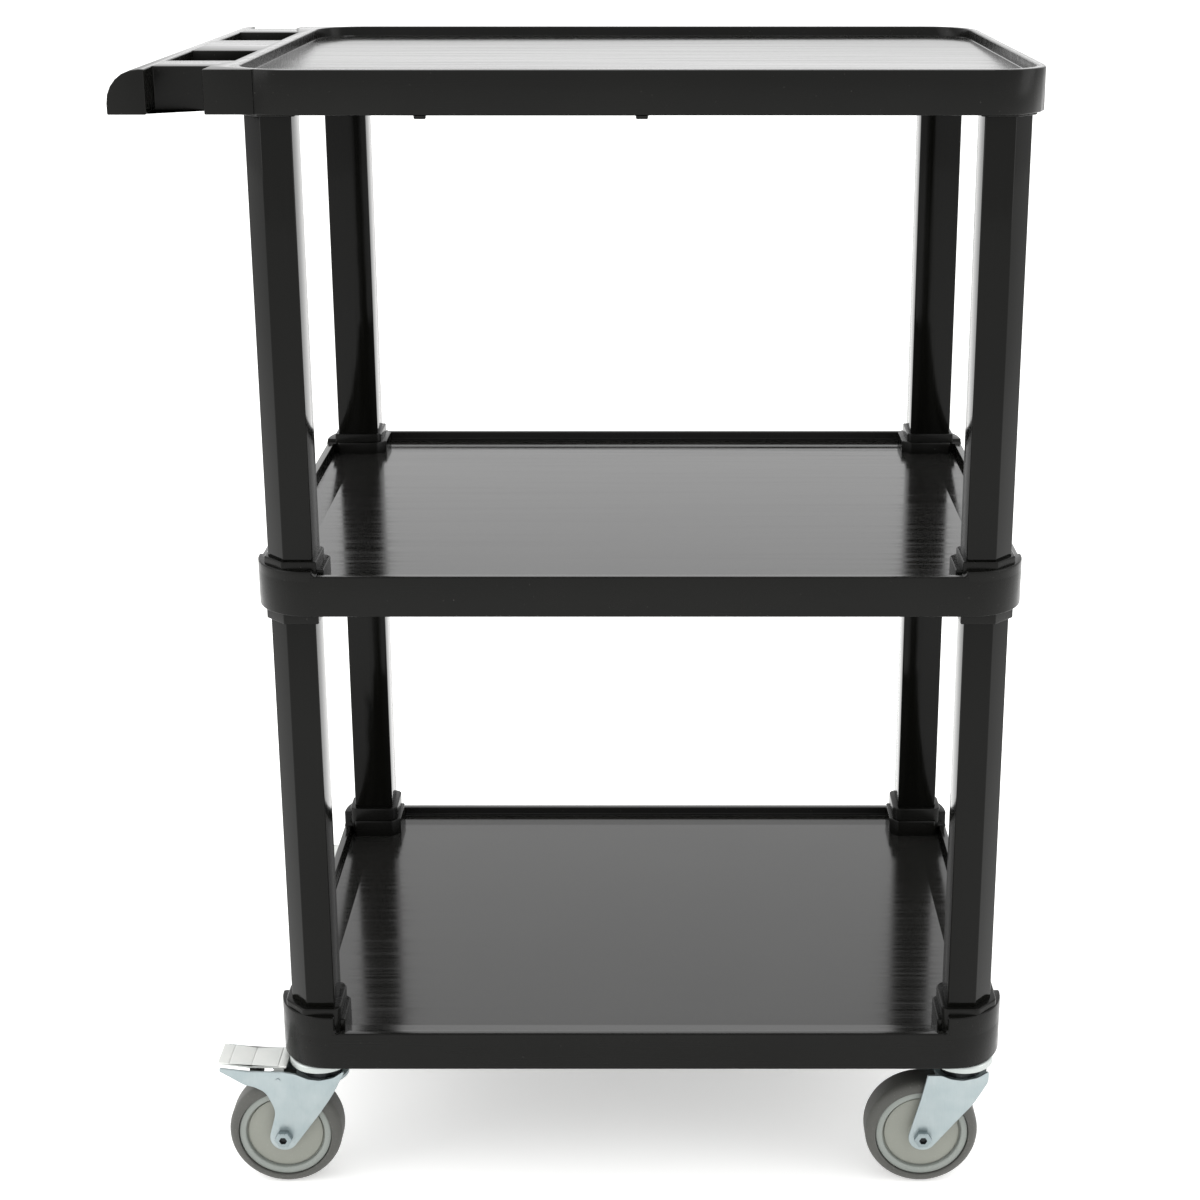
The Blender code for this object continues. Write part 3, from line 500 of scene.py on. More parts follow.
def polished_resin():
    """Glossy black polypropylene from a polished mould.

    It mirrors its surroundings in long upright streaks, with shallow sink marks a finger
    wide along the post and fine hairline scratches.
    """
    material, tree, shader = new_material(
        "polished_black_polypropylene", IOR=1.5, Specular_IOR_Level=0.13
    )
    place = add(tree, "ShaderNodeTexCoord").outputs["Object"]
    clouds = add(tree, "ShaderNodeTexNoise", {"Vector": place, "Scale": 1 / (120 * MM), "Detail": 2.0})
    shades = {0: clouds.outputs["Fac"], 6: linear("#060605"), 7: linear("#0d0d0b")}
    tone = add(tree, "ShaderNodeMix", shades, data_type="RGBA")
    lanes = (1 / (3 * MM), 1 / (3 * MM), 1 / (160 * MM))
    upright = add(tree, "ShaderNodeMapping", {"Vector": place, "Scale": lanes})
    streaks = {"Vector": upright.outputs["Vector"], "Scale": 1.0, "Detail": 5.0}
    hairs = add(tree, "ShaderNodeTexNoise", streaks)
    reach = {"Value": hairs.outputs["Fac"], "From Min": 0.35, "From Max": 0.75}
    reach["To Min"], reach["To Max"] = POLISHED_GLOSS
    gloss = add(tree, "ShaderNodeMapRange", reach)
    sink = add(tree, "ShaderNodeTexNoise", {"Vector": place, "Scale": 1 / (35 * MM), "Detail": 1.0})
    relief = {"Height": sink.outputs["Fac"], "Strength": 0.08, "Distance": 1 * MM}
    bump = add(tree, "ShaderNodeBump", relief)
    tree.links.new(tone.outputs[2], shader.inputs["Base Color"])
    tree.links.new(gloss.outputs["Result"], shader.inputs["Roughness"])
    tree.links.new(bump.outputs["Normal"], shader.inputs["Normal"])
    return material


POLISHED_RESIN = polished_resin()


def post_outline(side, end):
    """The leg's outline, its chamfer turned to the corner it stands at."""
    cut = LEG_HALF - LEG_CHAMFER
    corners = [(LEG_HALF, -LEG_HALF), (LEG_HALF, cut), (cut, LEG_HALF)]
    corners += [(-LEG_HALF, LEG_HALF), (-LEG_HALF, -LEG_HALF)]
    corners = np.array(corners) * (side, end)
    return corners if side * end > 0 else corners[::-1]


def post_centre(corner):
    """Middle of the leg that stands at a corner."""
    low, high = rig.box(f"upper_leg_{corner}")
    return (low.x + high.x) / 2, (low.y + high.y) / 2


for corner, (side, end) in CORNERS.items():
    for tier in ("upper", "lower"):
        node = f"{tier}_leg_{corner}"
        low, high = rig.box(node)
        path = rounded(post_outline(side, end), LEG_EDGE, steps=4)
        rings = carried(path, edged(low.z, high.z, LEG_END_EDGE), (*post_centre(corner), 0))
        skin(f"{node}_post", rings, POLISHED_RESIN, "root", "leg_resin", (node,))


# ================================================================ corner sockets
# At each corner the tray rises in a block that is flush with its apron, and a collar stands
# on it round the leg.  A buttress fills the deck's corner, and a sleeve hangs under the
# middle tray.

BLOCK = 49 * MM
SEAM_COVER = 4 * MM
BLOCK_EDGE = 1.2 * MM
BLOCK_END_RADIUS = 2 * MM
BLOCK_INNER_RADIUS = 5 * MM
BLOCK_FILLET = 3.5 * MM
FILLET_SHARE = 0.6
BLOCK_STEPS = 5
MIDDLE_BLOCK_RISE = 4 * MM
BOTTOM_BLOCK_RISE = 14.5 * MM
COLLAR_WALL = 3 * MM
COLLAR_EDGE = 1.2 * MM
COLLAR_RADIUS = 1.5 * MM
BOTTOM_COLLAR_WALL = 5 * MM
BOTTOM_COLLAR_RADIUS = 7 * MM
BUTTRESS_GROWTH = 8 * MM
BUTTRESS_SINK = 1 * MM
BUTTRESS_EDGE = 1 * MM
BUTTRESS_RADIUS = 2 * MM
SLEEVE_DROP = 9 * MM
SLEEVE_OVERLAP = 6 * MM
SLEEVE_EDGE = 0.8 * MM
SLEEVE_RADIUS = 2 * MM


def corner_block(name, side, end, rim_height, rise):
    """Block whose outer sides follow the apron and whose inner sides flare on to the rim.

    Its inner sides start under the deck and flare out on to the rim.  Its outer sides start a
    little below the rim and cover the apron's face, and every side ends in a rounded edge.
    No point may pass the two planes of the apron's faces, which meet at the tray's corner.
    """
    corners = np.array([(0, 0), (-BLOCK, 0), (-BLOCK, -BLOCK), (0, -BLOCK)], float) * (side, end)
    radii = np.array([TRAY_RADIUS, BLOCK_END_RADIUS, BLOCK_INNER_RADIUS, BLOCK_END_RADIUS])
    if side * end < 0:
        corners, radii = corners[::-1], radii[::-1]
    points, normals = rounded(corners, radii, steps=12)
    outward = normals @ np.array((side, end)) > TINY
    sweep = np.linspace(0, math.pi / 2, BLOCK_STEPS)
    foot = np.array([-RIM_LIP - DECK_THICKNESS / 2, -TINY])
    below_crest = len(foot) + BLOCK_STEPS
    spread = -BLOCK_FILLET * (1 - np.sin(sweep))
    flare = np.concatenate((np.zeros(len(foot)), spread, np.zeros(BLOCK_STEPS)))
    climb = np.minimum(BLOCK_FILLET * (1 - np.cos(sweep)), rise * FILLET_SHARE)
    over = np.concatenate((np.zeros(below_crest), BLOCK_EDGE * (1 - np.cos(sweep))))
    crest = rise - BLOCK_EDGE * (1 - np.sin(sweep))
    inner_height = np.concatenate((foot, climb, crest))
    outer_height = np.concatenate((np.linspace(-SEAM_COVER, 0, below_crest), crest))
    move = np.where(outward[None, :], over[:, None], (flare + over)[:, None])
    height = np.where(outward[None, :], outer_height[:, None], inner_height[:, None])
    flat = points[None] - normals[None] * move[..., None]
    flat = np.minimum(flat * (side, end), 0) * (side, end)
    at_corner = (TRAY_CENTRE_X + side * HALF_LENGTH, end * HALF_WIDTH)
    flat = flat + np.array(at_corner)
    rings = np.concatenate((flat, (rim_height + height)[..., None]), -1)
    return skin(name, rings, APRON_RESIN, "root", "tray_resin")


def collar_outline(side, end, wall, inner_wall):
    """Outline round a leg: one wall on the two outer sides, another on the two inner sides."""
    outer = LEG_HALF + wall
    inner = -LEG_HALF - inner_wall
    chamfer = LEG_CHAMFER + wall * (2 - math.sqrt(2))
    corners = [(outer, inner), (outer, outer - chamfer), (outer - chamfer, outer), (inner, outer)]
    corners += [(inner, inner + inner_wall), (inner + inner_wall, inner)]
    corners = np.array(corners) * (side, end)
    return corners if side * end > 0 else corners[::-1]


def collar(name, corner, walls, heights, edge, radius):
    """Moulded wall round a leg, drawn as a solid because the leg fills it."""
    path = rounded(collar_outline(*CORNERS[corner], *walls), radius, steps=5)
    rings = carried(path, edged(*heights, edge), (*post_centre(corner), 0))
    return skin(name, rings, APRON_RESIN, "root", "tray_resin")


def tray_corner(corner, shelf, rim, rise, collar_rise, wall, radius):
    """The block, the collar and the buttress at one corner of one tray."""
    corner_block(f"{shelf}_block_{corner}", *CORNERS[corner], rim, rise)
    heights = (rim - RIM_LIP, rim + collar_rise)
    collar(f"{shelf}_collar_{corner}", corner, (wall, wall), heights, COLLAR_EDGE, radius)
    heights = (rim - RIM_LIP - BUTTRESS_SINK, rim + rise / 2)
    walls = (0, BUTTRESS_GROWTH)
    collar(f"{shelf}_buttress_{corner}", corner, walls, heights, BUTTRESS_EDGE, BUTTRESS_RADIUS)


MIDDLE_SIZES = (MIDDLE_RIM, MIDDLE_BLOCK_RISE, MIDDLE_COLLAR_RISE, COLLAR_WALL, COLLAR_RADIUS)
BOTTOM_SIZES = (
    BOTTOM_RIM,
    BOTTOM_BLOCK_RISE,
    BOTTOM_COLLAR_RISE,
    BOTTOM_COLLAR_WALL,
    BOTTOM_COLLAR_RADIUS,
)
MIDDLE_APRON_FOOT = MIDDLE_RIM - APRON_HEIGHT
for corner in CORNERS:
    tray_corner(corner, "middle", *MIDDLE_SIZES)
    tray_corner(corner, "bottom", *BOTTOM_SIZES)
    heights = (MIDDLE_APRON_FOOT - SLEEVE_DROP, MIDDLE_APRON_FOOT + SLEEVE_OVERLAP)
    walls = (COLLAR_WALL, COLLAR_WALL)
    collar(f"middle_sleeve_{corner}", corner, walls, heights, SLEEVE_EDGE, SLEEVE_RADIUS)


# ================================================================ top tray and handle
# The top tray is moulded in one with the push handle: a grip bar with a large round outer
# edge, two hand holes and a notch at each end.  Its moulded edges are all slightly round.

HANDLE_EDGE = 1 * MM
SAME_PLACE = 0.01 * MM
FLAT_ANGLE = math.radians(1)
EDGE_ANGLE = math.radians(32)


def softened(node, edge, material, slot):
    """A copy of a CAD node with its loose triangles joined and its sharp edges rounded."""
    source = frame["nodes"][node]
    mesh = bpy.data.meshes.new(f"{node}_moulding")
    shape = bmesh.new()
    shape.from_mesh(source.data)
    bmesh.ops.remove_doubles(shape, verts=shape.verts, dist=SAME_PLACE)
    bmesh.ops.dissolve_limit(shape, angle_limit=FLAT_ANGLE, verts=shape.verts, edges=shape.edges)
    shape.to_mesh(mesh)
    shape.free()
    body = source["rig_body"]
    piece = finish_piece(f"{node}_moulding", mesh, material, body, slot, (node,), sharp=180)
    rounding = piece.modifiers.new("moulded_edges", "BEVEL")
    rounding.width = edge
    rounding.segments = 3
    rounding.limit_method = "ANGLE"
    rounding.angle_limit = EDGE_ANGLE
    rounding.use_clamp_overlap = False
    rounding.miter_outer = "MITER_ARC"
    rounding.harden_normals = True
    return piece


smooth_tops_painted_lighter(softened("top_shelf", HANDLE_EDGE, APRON_RESIN, "tray_resin"))


# ================================================================ caster tops
# A pressed cup of pale zinc-plated steel covers each swivel bearing and bears on the tray.
# The bearing ring, the stem and its socket are plain dark steel, and the axle's bush and the
# pedal's pin are zinc plated.

JOINT_PLACES = {joint["name"]: joint["pos_m"] for joint in frame["joints"]}
CUP_RADIUS = 27 * MM
CUP_BORE = 8 * MM
CUP_WALL = 2 * MM


def zinc_plate(name, cool, warm, low_gloss, high_gloss, **settings):
    """Bright zinc plating on pressed steel.

    It gives a bluish silver whose tone drifts over a finger's width, with fine drawing lines
    from the press and a slightly uneven sheen.
    """
    material, tree, shader = new_material(name, **settings)
    place = add(tree, "ShaderNodeTexCoord").outputs["Object"]
    drift = add(tree, "ShaderNodeTexNoise", {"Vector": place, "Scale": 1 / (18 * MM), "Detail": 3.0})
    shades = {0: drift.outputs["Fac"], 6: linear(cool), 7: linear(warm)}
    tone = add(tree, "ShaderNodeMix", shades, data_type="RGBA")
    lanes = (1 / (1.2 * MM), 1 / (1.2 * MM), 1 / (14 * MM))
    drawn = add(tree, "ShaderNodeMapping", {"Vector": place, "Scale": lanes})
    lines = add(tree, "ShaderNodeTexNoise", {"Vector": drawn.outputs["Vector"], "Scale": 1.0, "Detail": 3.0})
    reach = {"Value": lines.outputs["Fac"], "From Min": 0.3, "From Max": 0.7}
    reach["To Min"], reach["To Max"] = low_gloss, high_gloss
    gloss = add(tree, "ShaderNodeMapRange", reach)
    relief = {"Height": lines.outputs["Fac"], "Strength": 0.08, "Distance": 0.1 * MM}
    bump = add(tree, "ShaderNodeBump", relief)
    tree.links.new(tone.outputs[2], shader.inputs["Base Color"])
    tree.links.new(gloss.outputs["Result"], shader.inputs["Roughness"])
    tree.links.new(bump.outputs["Normal"], shader.inputs["Normal"])
    return material


FORK_ZINC = zinc_plate("blue_zinc_plate", "#8f9c9f", "#abb3b4", 0.30, 0.46, Metallic=0.85)
CUP_ZINC = zinc_plate("cup_zinc_plate", "#a9b0af", "#bcc0bd", 0.28, 0.42, Metallic=0.6)
PALE_ZINC = zinc_plate("pale_zinc_plate", "#cdd1ce", "#dcdcd8", 0.28, 0.42, Metallic=0.35)
# Dark steel colours the stems, their sockets and the bearing rings, and is also painted shade in the bolt heads'
# recesses.
DARK_STEEL_AND_RECESS_SHADE = zinc_plate("oiled_dark_steel", "#26282a", "#3a3c3d", 0.35, 0.55, Metallic=0.9)


def turned(section, centre, upright, steps=64):
    """Rings for a section (radius, height) turned once round a line through the centre."""
    section = np.asarray(section, float)
    angle = np.linspace(0, 2 * math.pi, steps, endpoint=False)
    across = section[:, :1] * np.cos(angle)
    other = section[:, :1] * np.sin(angle)
    along = np.broadcast_to(section[:, 1:], across.shape)
    order = (across, other, along) if upright == "Z" else (across, along, other)
    return np.stack(order, -1) + np.asarray(centre, float)


def cup_section(low, high):
    """Section of a cup: out under its top, down the skirt and back up over the outside.

    Each corner is its distance from the axis, its height and the radius that rounds it.
    """
    inner = CUP_RADIUS - CUP_WALL
    corners = np.array(
        [
            (CUP_BORE, high - CUP_WALL, 0.1 * MM),
            (inner, high - CUP_WALL, 1.2 * MM),
            (inner, low, 0.5 * MM),
            (CUP_RADIUS, low, 0.6 * MM),
            (CUP_RADIUS, high, 2.2 * MM),
            (CUP_BORE, high, 0.1 * MM),
        ]
    )
    return rounded(corners[:, :2], corners[:, 2], steps=5)[0]


for node in frame["nodes"]:
    if node.startswith(("stem_socket", "caster_stem", "ball_race")):
        frame["nodes"][node].material_slots[0].material = DARK_STEEL_AND_RECESS_SHADE
    elif node.startswith(("axle_bush", "pedal_pin")):
        frame["nodes"][node].material_slots[0].material = FORK_ZINC

for corner in CORNERS:
    low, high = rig.box(f"top_cup_{corner}")
    axis_x, axis_y = JOINT_PLACES[f"swivel_{corner}"][:2]
    rings = turned(cup_section(low.z, high.z), (axis_x, axis_y, 0), "Z", steps=72)
    node = f"top_cup_{corner}"
    skin(f"{node}_pressing", rings, CUP_ZINC, "root", "white_zinc", (node,), closed=True)


# ================================================================ wheels
# Each wheel is a grey polypropylene centre with a thermoplastic rubber tyre moulded on.  A
# raised bead ring stands proud of the flat web, with a narrow groove inside it.

WHEEL_RADIUS = 48 * MM
TYRE_HALF = 15.5 * MM
BEAD_RADIUS = 39.3 * MM
BEAD_HALF = 13.8 * MM
GROOVE_OUTER = 33.4 * MM
GROOVE_INNER = 31.9 * MM
WEB_HALF = 11.2 * MM
GROOVE_HALF = 9.4 * MM
BOSS_RADIUS = 10.5 * MM
BOSS_HALF = 15 * MM
HUB_BORE = 6.6 * MM
TYRE_SEAT = BEAD_RADIUS + 0.3 * MM
BEAD_MARGIN = 0.2 * MM
# Half sections: distance from the axle, distance from the wheel's middle, and corner radius.
HUB_HALF_SECTION = (
    (BEAD_RADIUS, BEAD_HALF, 1.2 * MM),
    (GROOVE_OUTER, BEAD_HALF, 1.4 * MM),
    (GROOVE_OUTER, GROOVE_HALF, 0.3 * MM),
    (GROOVE_INNER, GROOVE_HALF, 0.3 * MM),
    (GROOVE_INNER, WEB_HALF, 0.7 * MM),
    (BOSS_RADIUS, WEB_HALF, 1.0 * MM),
    (BOSS_RADIUS, BOSS_HALF, 0.6 * MM),
    (HUB_BORE, BOSS_HALF, 0.3 * MM),
)
TYRE_HALF_SECTION = (
    (WHEEL_RADIUS, TYRE_HALF, 8.2 * MM),
    (TYRE_SEAT, TYRE_HALF, 1.4 * MM),
    (TYRE_SEAT, 5 * MM, 0.5 * MM),
)


def dusty_moulding(name, dark, light, grain, roughness, dust, **settings):
    """Moulded plastic or rubber, a little dusty.

    Its tone drifts over the whole wheel, a fine grain keeps it matt, and pale dust gathers
    in small specks.
    """
    material, tree, shader = new_material(name, **settings)
    place = add(tree, "ShaderNodeTexCoord").outputs["Object"]
    drift = add(tree, "ShaderNodeTexNoise", {"Vector": place, "Scale": 1 / (40 * MM), "Detail": 4.0})
    shades = {0: drift.outputs["Fac"], 6: linear(dark), 7: linear(light)}
    tone = add(tree, "ShaderNodeMix", shades, data_type="RGBA")
    fine = add(tree, "ShaderNodeTexNoise", {"Vector": place, "Scale": 1 / grain, "Detail": 3.0})
    reach = {"Value": fine.outputs["Fac"], "From Min": 0.62, "From Max": 0.80}
    settled = add(tree, "ShaderNodeMapRange", reach)
    shades = {0: settled.outputs["Result"], 6: tone.outputs[2], 7: linear(dust)}
    dusted = add(tree, "ShaderNodeMix", shades, data_type="RGBA")
    reach = {"Value": drift.outputs["Fac"], "To Min": roughness - 0.1, "To Max": roughness + 0.1}
    gloss = add(tree, "ShaderNodeMapRange", reach)
    relief = {"Height": fine.outputs["Fac"], "Strength": 0.12, "Distance": 0.2 * MM}
    bump = add(tree, "ShaderNodeBump", relief)
    tree.links.new(dusted.outputs[2], shader.inputs["Base Color"])
    tree.links.new(gloss.outputs["Result"], shader.inputs["Roughness"])
    tree.links.new(bump.outputs["Normal"], shader.inputs["Normal"])
    return material


TYRE_RUBBER = dusty_moulding(
    "grey_thermoplastic_rubber", "#42423f", "#565652", 1.5 * MM, 0.55, "#6a6a65", Specular_IOR_Level=0.35
)
WEB_PLASTIC = dusty_moulding("grey_polypropylene", "#7b7d75", "#8b8d84", 1.2 * MM, 0.5, "#95968c", IOR=1.49)
BEAD_PLASTIC = dusty_moulding("grey_polypropylene_bead", "#7b807b", "#8a8f8a", 1.2 * MM, 0.45, "#a8aba4")
SHOE_RUBBER = dusty_moulding("black_nitrile_rubber", "#141413", "#222220", 1.5 * MM, 0.7, "#3c3c39")


def wheel_section(half, steps):
    """Half a section mirrored across the wheel's middle, with every corner rounded."""
    near = np.array(half)
    whole = np.vstack((near[::-1] * (1, -1, 1), near))
    return rounded(whole[:, :2], whole[:, 2], steps)[0]


for corner in CORNERS:
    centre = JOINT_PLACES[f"spin_{corner}"]
    body = f"wheel_{corner}"
    rings = turned(wheel_section(HUB_HALF_SECTION, 4), centre, "Y", steps=96)
    node = f"wheel_hub_{corner}"
    hub = skin(f"{node}_moulding", rings, WEB_PLASTIC, body, "wheel_centre", (node,), closed=True)
    hub.data.materials.append(BEAD_PLASTIC)
    centres = np.zeros(len(hub.data.polygons) * 3, np.float32)
    hub.data.polygons.foreach_get("center", centres)
    from_axle = np.linalg.norm(centres.reshape(-1, 3)[:, ::2] - np.array(centre)[::2], axis=1)
    on_bead = (from_axle > GROOVE_OUTER - BEAD_MARGIN).astype(np.int32)
    hub.data.polygons.foreach_set("material_index", on_bead)
    rings = turned(wheel_section(TYRE_HALF_SECTION, 10), centre, "Y", steps=96)
    node = f"tyre_{corner}"
    skin(f"{node}_moulding", rings, TYRE_RUBBER, body, "tyre", (node,), closed=True)


# ================================================================ caster forks
# Each fork is pressed from 2.5 mm steel and zinc plated: a round crown under the bearing and
# a plate down each side of the wheel.  At the handle end ears run back beside the pedal.

BRAKED_CORNERS = ("front_left", "back_left")
FORK_GAP_HALF = 18 * MM
FORK_PLATE = 2.5 * MM
FORK_EDGE = 0.5 * MM
CROWN_REACH = 22.3 * MM
CROWN_TOP = 103 * MM
CROWN_THICKNESS = 3 * MM
KINGPIN_CLEARANCE = 6.3 * MM
# Corners of a side plate in X and Z from the swivel axis, each with its radius, all in mm.
TIP_CORNERS = ((-48.1, 36, 12), (-26.4, 36, 12))
BRAKED_FRONT = ((-1, 71, 150), (10.8, 89.3, 120), (22.4, 113.1, 1))
PLAIN_FRONT = ((-4.2, 63.7, 60), (9, 79.6, 60), (21.4, 101.6, 14), (21.4, 111.5, 1))
SCOOP_CORNERS = ((12, 105.4, 14), (0, 102.7, 14), (-10, 104, 14))
EAR_CORNERS = (
    (-20, 108.6, 10),
    (-30, 110.4, 12),
    (-60, 111.2, 20),
    (-83.8, 114.2, 0.8),
    (-83.8, 111.4, 1),
    (-63.4, 98.5, 12),
    (-55.9, 96.7, 20),
    (-46.2, 91.8, 14),
    (-38, 73.5, 20),
)
PLAIN_BACK = ((-18.5, 107.5, 10), (-29.9, 107.5, 1.5), (-35.1, 84.5, 60))


def fork_plate_path(braked):
    """Smooth outline of one side plate, run through its corners and their radii."""
    front = BRAKED_FRONT if braked else PLAIN_FRONT
    back = EAR_CORNERS if braked else PLAIN_BACK
    table = np.array((*TIP_CORNERS, *front, *SCOOP_CORNERS, *back)) * MM
    return rounded(table[:, :2], table[:, 2], steps=8)


def fork_crown(steps=72):
    """Closed rings of the crown: a disc cut straight at the plates, with the kingpin's hole."""
    angle = np.linspace(0, 2 * math.pi, steps, endpoint=False)
    side_limit = FORK_GAP_HALF + FORK_EDGE
    rim = (CROWN_REACH * np.cos(angle), np.clip(CROWN_REACH * np.sin(angle), -side_limit, side_limit))
    bore = (KINGPIN_CLEARANCE * np.cos(angle), KINGPIN_CLEARANCE * np.sin(angle))
    top = CROWN_TOP - TINY
    low = CROWN_TOP - CROWN_THICKNESS
    levels = ((rim, low), (rim, top), (bore, top), (bore, low))
    return np.array([np.stack((x, y, np.full(steps, z)), -1) for (x, y), z in levels])


for corner in CORNERS:
    swivel_x, swivel_y = JOINT_PLACES[f"swivel_{corner}"][:2]
    body = f"caster_{corner}"
    path = fork_plate_path(corner in BRAKED_CORNERS)
    rings = fork_crown() + np.array((swivel_x, swivel_y, 0))
    skin(f"fork_{corner}_crown", rings, FORK_ZINC, body, "zinc_plate", (f"fork_{corner}",), closed=True)
    for label, inner in (("near", -FORK_GAP_HALF - FORK_PLATE), ("far", FORK_GAP_HALF)):
        thickness = edged(swivel_y + inner, swivel_y + inner + FORK_PLATE, FORK_EDGE)
        rings = carried(path, thickness, (swivel_x, 0, 0), "Y")
        skin(f"fork_{corner}_{label}_plate", rings, FORK_ZINC, body, "zinc_plate")


# ================================================================ axle bolts and nuts
# A hexagon bolt runs through each wheel to a nut on the far side of the fork.  Both are
# bright zinc plate, with chamfered faces, and the bolt's head has a round recess whose
# wall and floor are painted dark as shade.

HEX_RADIUS = 7.5 * MM
FACE_RADIUS = 6.2 * MM
RECESS_RADIUS = 3.4 * MM
RECESS_DEPTH = 2.2 * MM
RECESS_TAPER = 0.5 * MM
HEX_CHAMFER = 0.7 * MM
HEX_CORNER_RADIUS = 0.5 * MM
AXLE_RADIUS = 4 * MM
THREAD_CLEARANCE = 0.3 * MM
BOLT_ZINC = zinc_plate("bright_zinc_bolt", "#7d888b", "#9ea8aa", 0.24, 0.4, Metallic=0.9)


def hexagonal_rings(steps):
    """Hexagon with slightly round corners, and the unit circle at the same angles."""
    angle = np.arange(6) * math.pi / 3
    corners = HEX_RADIUS * np.stack((np.cos(angle), np.sin(angle)), -1)
    hexagon = rounded(corners, HEX_CORNER_RADIUS, steps)[0]
    around = np.arctan2(hexagon[:, 1], hexagon[:, 0])
    return hexagon, np.stack((np.cos(around), np.sin(around)), -1)


def standing_on_fork(levels, centre):
    """Rings in X and Z, each at its own distance along Y from the axle's middle."""
    return np.array([np.insert(flat, 1, away, axis=1) for flat, away in levels]) + np.asarray(centre)


for corner in CORNERS:
    centre = JOINT_PLACES[f"spin_{corner}"]
    body = f"caster_{corner}"
    hexagon, circle = hexagonal_rings(4)
    bolt_low, bolt_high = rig.box(f"axle_bolt_{corner}")
    nut_low, nut_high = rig.box(f"axle_nut_{corner}")
    seat = FORK_GAP_HALF + FORK_PLATE + THREAD_CLEARANCE
    face = centre[1] - bolt_low.y
    head = (
        (hexagon, -seat),
        (hexagon, -face + HEX_CHAMFER),
        (circle * FACE_RADIUS, -face),
        (circle * RECESS_RADIUS, -face),
        (circle * (RECESS_RADIUS - RECESS_TAPER), -face + RECESS_DEPTH),
    )
    node = f"axle_bolt_{corner}"
    piece = skin(f"{node}_head", standing_on_fork(head, centre), BOLT_ZINC, body, "zinc_plate", (node,))
    # The recess's wall and floor take the dark steel instead of the zinc: painted shade inside the head's recess.
    piece.data.materials.append(DARK_STEEL_AND_RECESS_SHADE)
    strip = np.arange(len(piece.data.polygons)) // len(hexagon)
    recess_wall = len(head) - 2
    piece.data.polygons.foreach_set("material_index", (strip == recess_wall).astype(np.int32))
    recess_floor = piece.data.polygons[-1]
    recess_floor.material_index = 1
    shank_end = bolt_high.y - centre[1]
    shank = [(AXLE_RADIUS, -seat), (AXLE_RADIUS, shank_end - HEX_CHAMFER)]
    shank.append((AXLE_RADIUS - HEX_CHAMFER, shank_end))
    rings = turned(shank, centre, "Y", steps=32)
    skin(f"{node}_shank", rings, BOLT_ZINC, body, "zinc_plate")
    bore = circle * (AXLE_RADIUS + THREAD_CLEARANCE)
    nut_face = nut_high.y - centre[1]
    nut = (
        (bore, seat),
        (hexagon, seat),
        (hexagon, nut_face - HEX_CHAMFER),
        (circle * FACE_RADIUS, nut_face),
        (bore, nut_face),
    )
    node = f"axle_nut_{corner}"
    rings = standing_on_fork(nut, centre)
    skin(f"{node}_turned", rings, BOLT_ZINC, body, "zinc_plate", (node,), closed=True)


# ================================================================ brake pedals
# The foot pedal is a pressed steel plate with pale zinc plating, between the fork's ears.  It
# has grooves across its top for grip, two lugs down to the pin and a dark rubber shoe.

PEDAL_PLATE = 2.5 * MM
PEDAL_INNER = -28.5 * MM
PEDAL_BEND = -60.1 * MM
PEDAL_TIP = -85.9 * MM
PEDAL_UNDERSIDE = 111 * MM
BEND_LIFT = 0.6 * MM
TIP_LIFT = 4 * MM
GROOVE_PLACES = (-35 * MM, -57.6 * MM, -76.2 * MM)
GROOVE_HALF_WIDTH = 0.8 * MM
GROOVE_DEPTH = 0.35 * MM
GROOVE_EDGE = 0.3 * MM
PEDAL_HALF = 15 * MM
PEDAL_EDGE = 0.7 * MM
PEDAL_SIDE_EDGE = 0.6 * MM
EYE_RADIUS = 4 * MM
LUG_THICKNESS = 2.5 * MM
LUG_END_RADIUS = 3.9 * MM
LUG_TOP_RADIUS = 0.2 * MM
LUG_POINTS = 64
PIN_RADIUS = 2 * MM
SHOE_HALF = 10 * MM
SHOE_EDGE = 0.3 * MM
SHOE_SIDE_EDGE = 0.6 * MM
SHOE_FACE_RADIUS = 50.8 * MM
SHOE_ANGLES = (math.radians(112.5), math.radians(123.5))


def pedal_lift(x):
    """Height of the plate's underside: nearly level to the bend, then rising to the tip."""
    places = (PEDAL_TIP, PEDAL_BEND, PEDAL_INNER)
    return PEDAL_UNDERSIDE + np.interp(x, places, (TIP_LIFT, BEND_LIFT, 0))


def pedal_path():
    """Side view of the plate, with a shallow V cut across its top at each groove.

    The plate's four end corners are rounder than its bend and its grooves.
    """
    outline = [(x, pedal_lift(x)) for x in (PEDAL_TIP, PEDAL_BEND, PEDAL_INNER)]
    outline.append((PEDAL_INNER, pedal_lift(PEDAL_INNER) + PEDAL_PLATE))
    for x in GROOVE_PLACES:
        for step, depth in ((GROOVE_HALF_WIDTH, 0), (0, GROOVE_DEPTH), (-GROOVE_HALF_WIDTH, 0)):
            outline.append((x + step, pedal_lift(x + step) + PEDAL_PLATE - depth))
    outline.append((PEDAL_TIP, pedal_lift(PEDAL_TIP) + PEDAL_PLATE))
    radii = np.full(len(outline), GROOVE_EDGE)
    end_corners = [0, 2, 3, -1]
    radii[end_corners] = PEDAL_EDGE
    return rounded(outline, radii, steps=3)


def evenly_spaced(outline, count):
    """The same closed outline with points at equal steps along its length."""
    loop = np.vstack((outline, outline[:1]))
    travelled = np.concatenate(([0], np.cumsum(np.linalg.norm(np.diff(loop, axis=0), axis=1))))
    steps = np.linspace(0, travelled[-1], count, endpoint=False)
    return np.stack([np.interp(steps, travelled, loop[:, axis]) for axis in (0, 1)], -1)


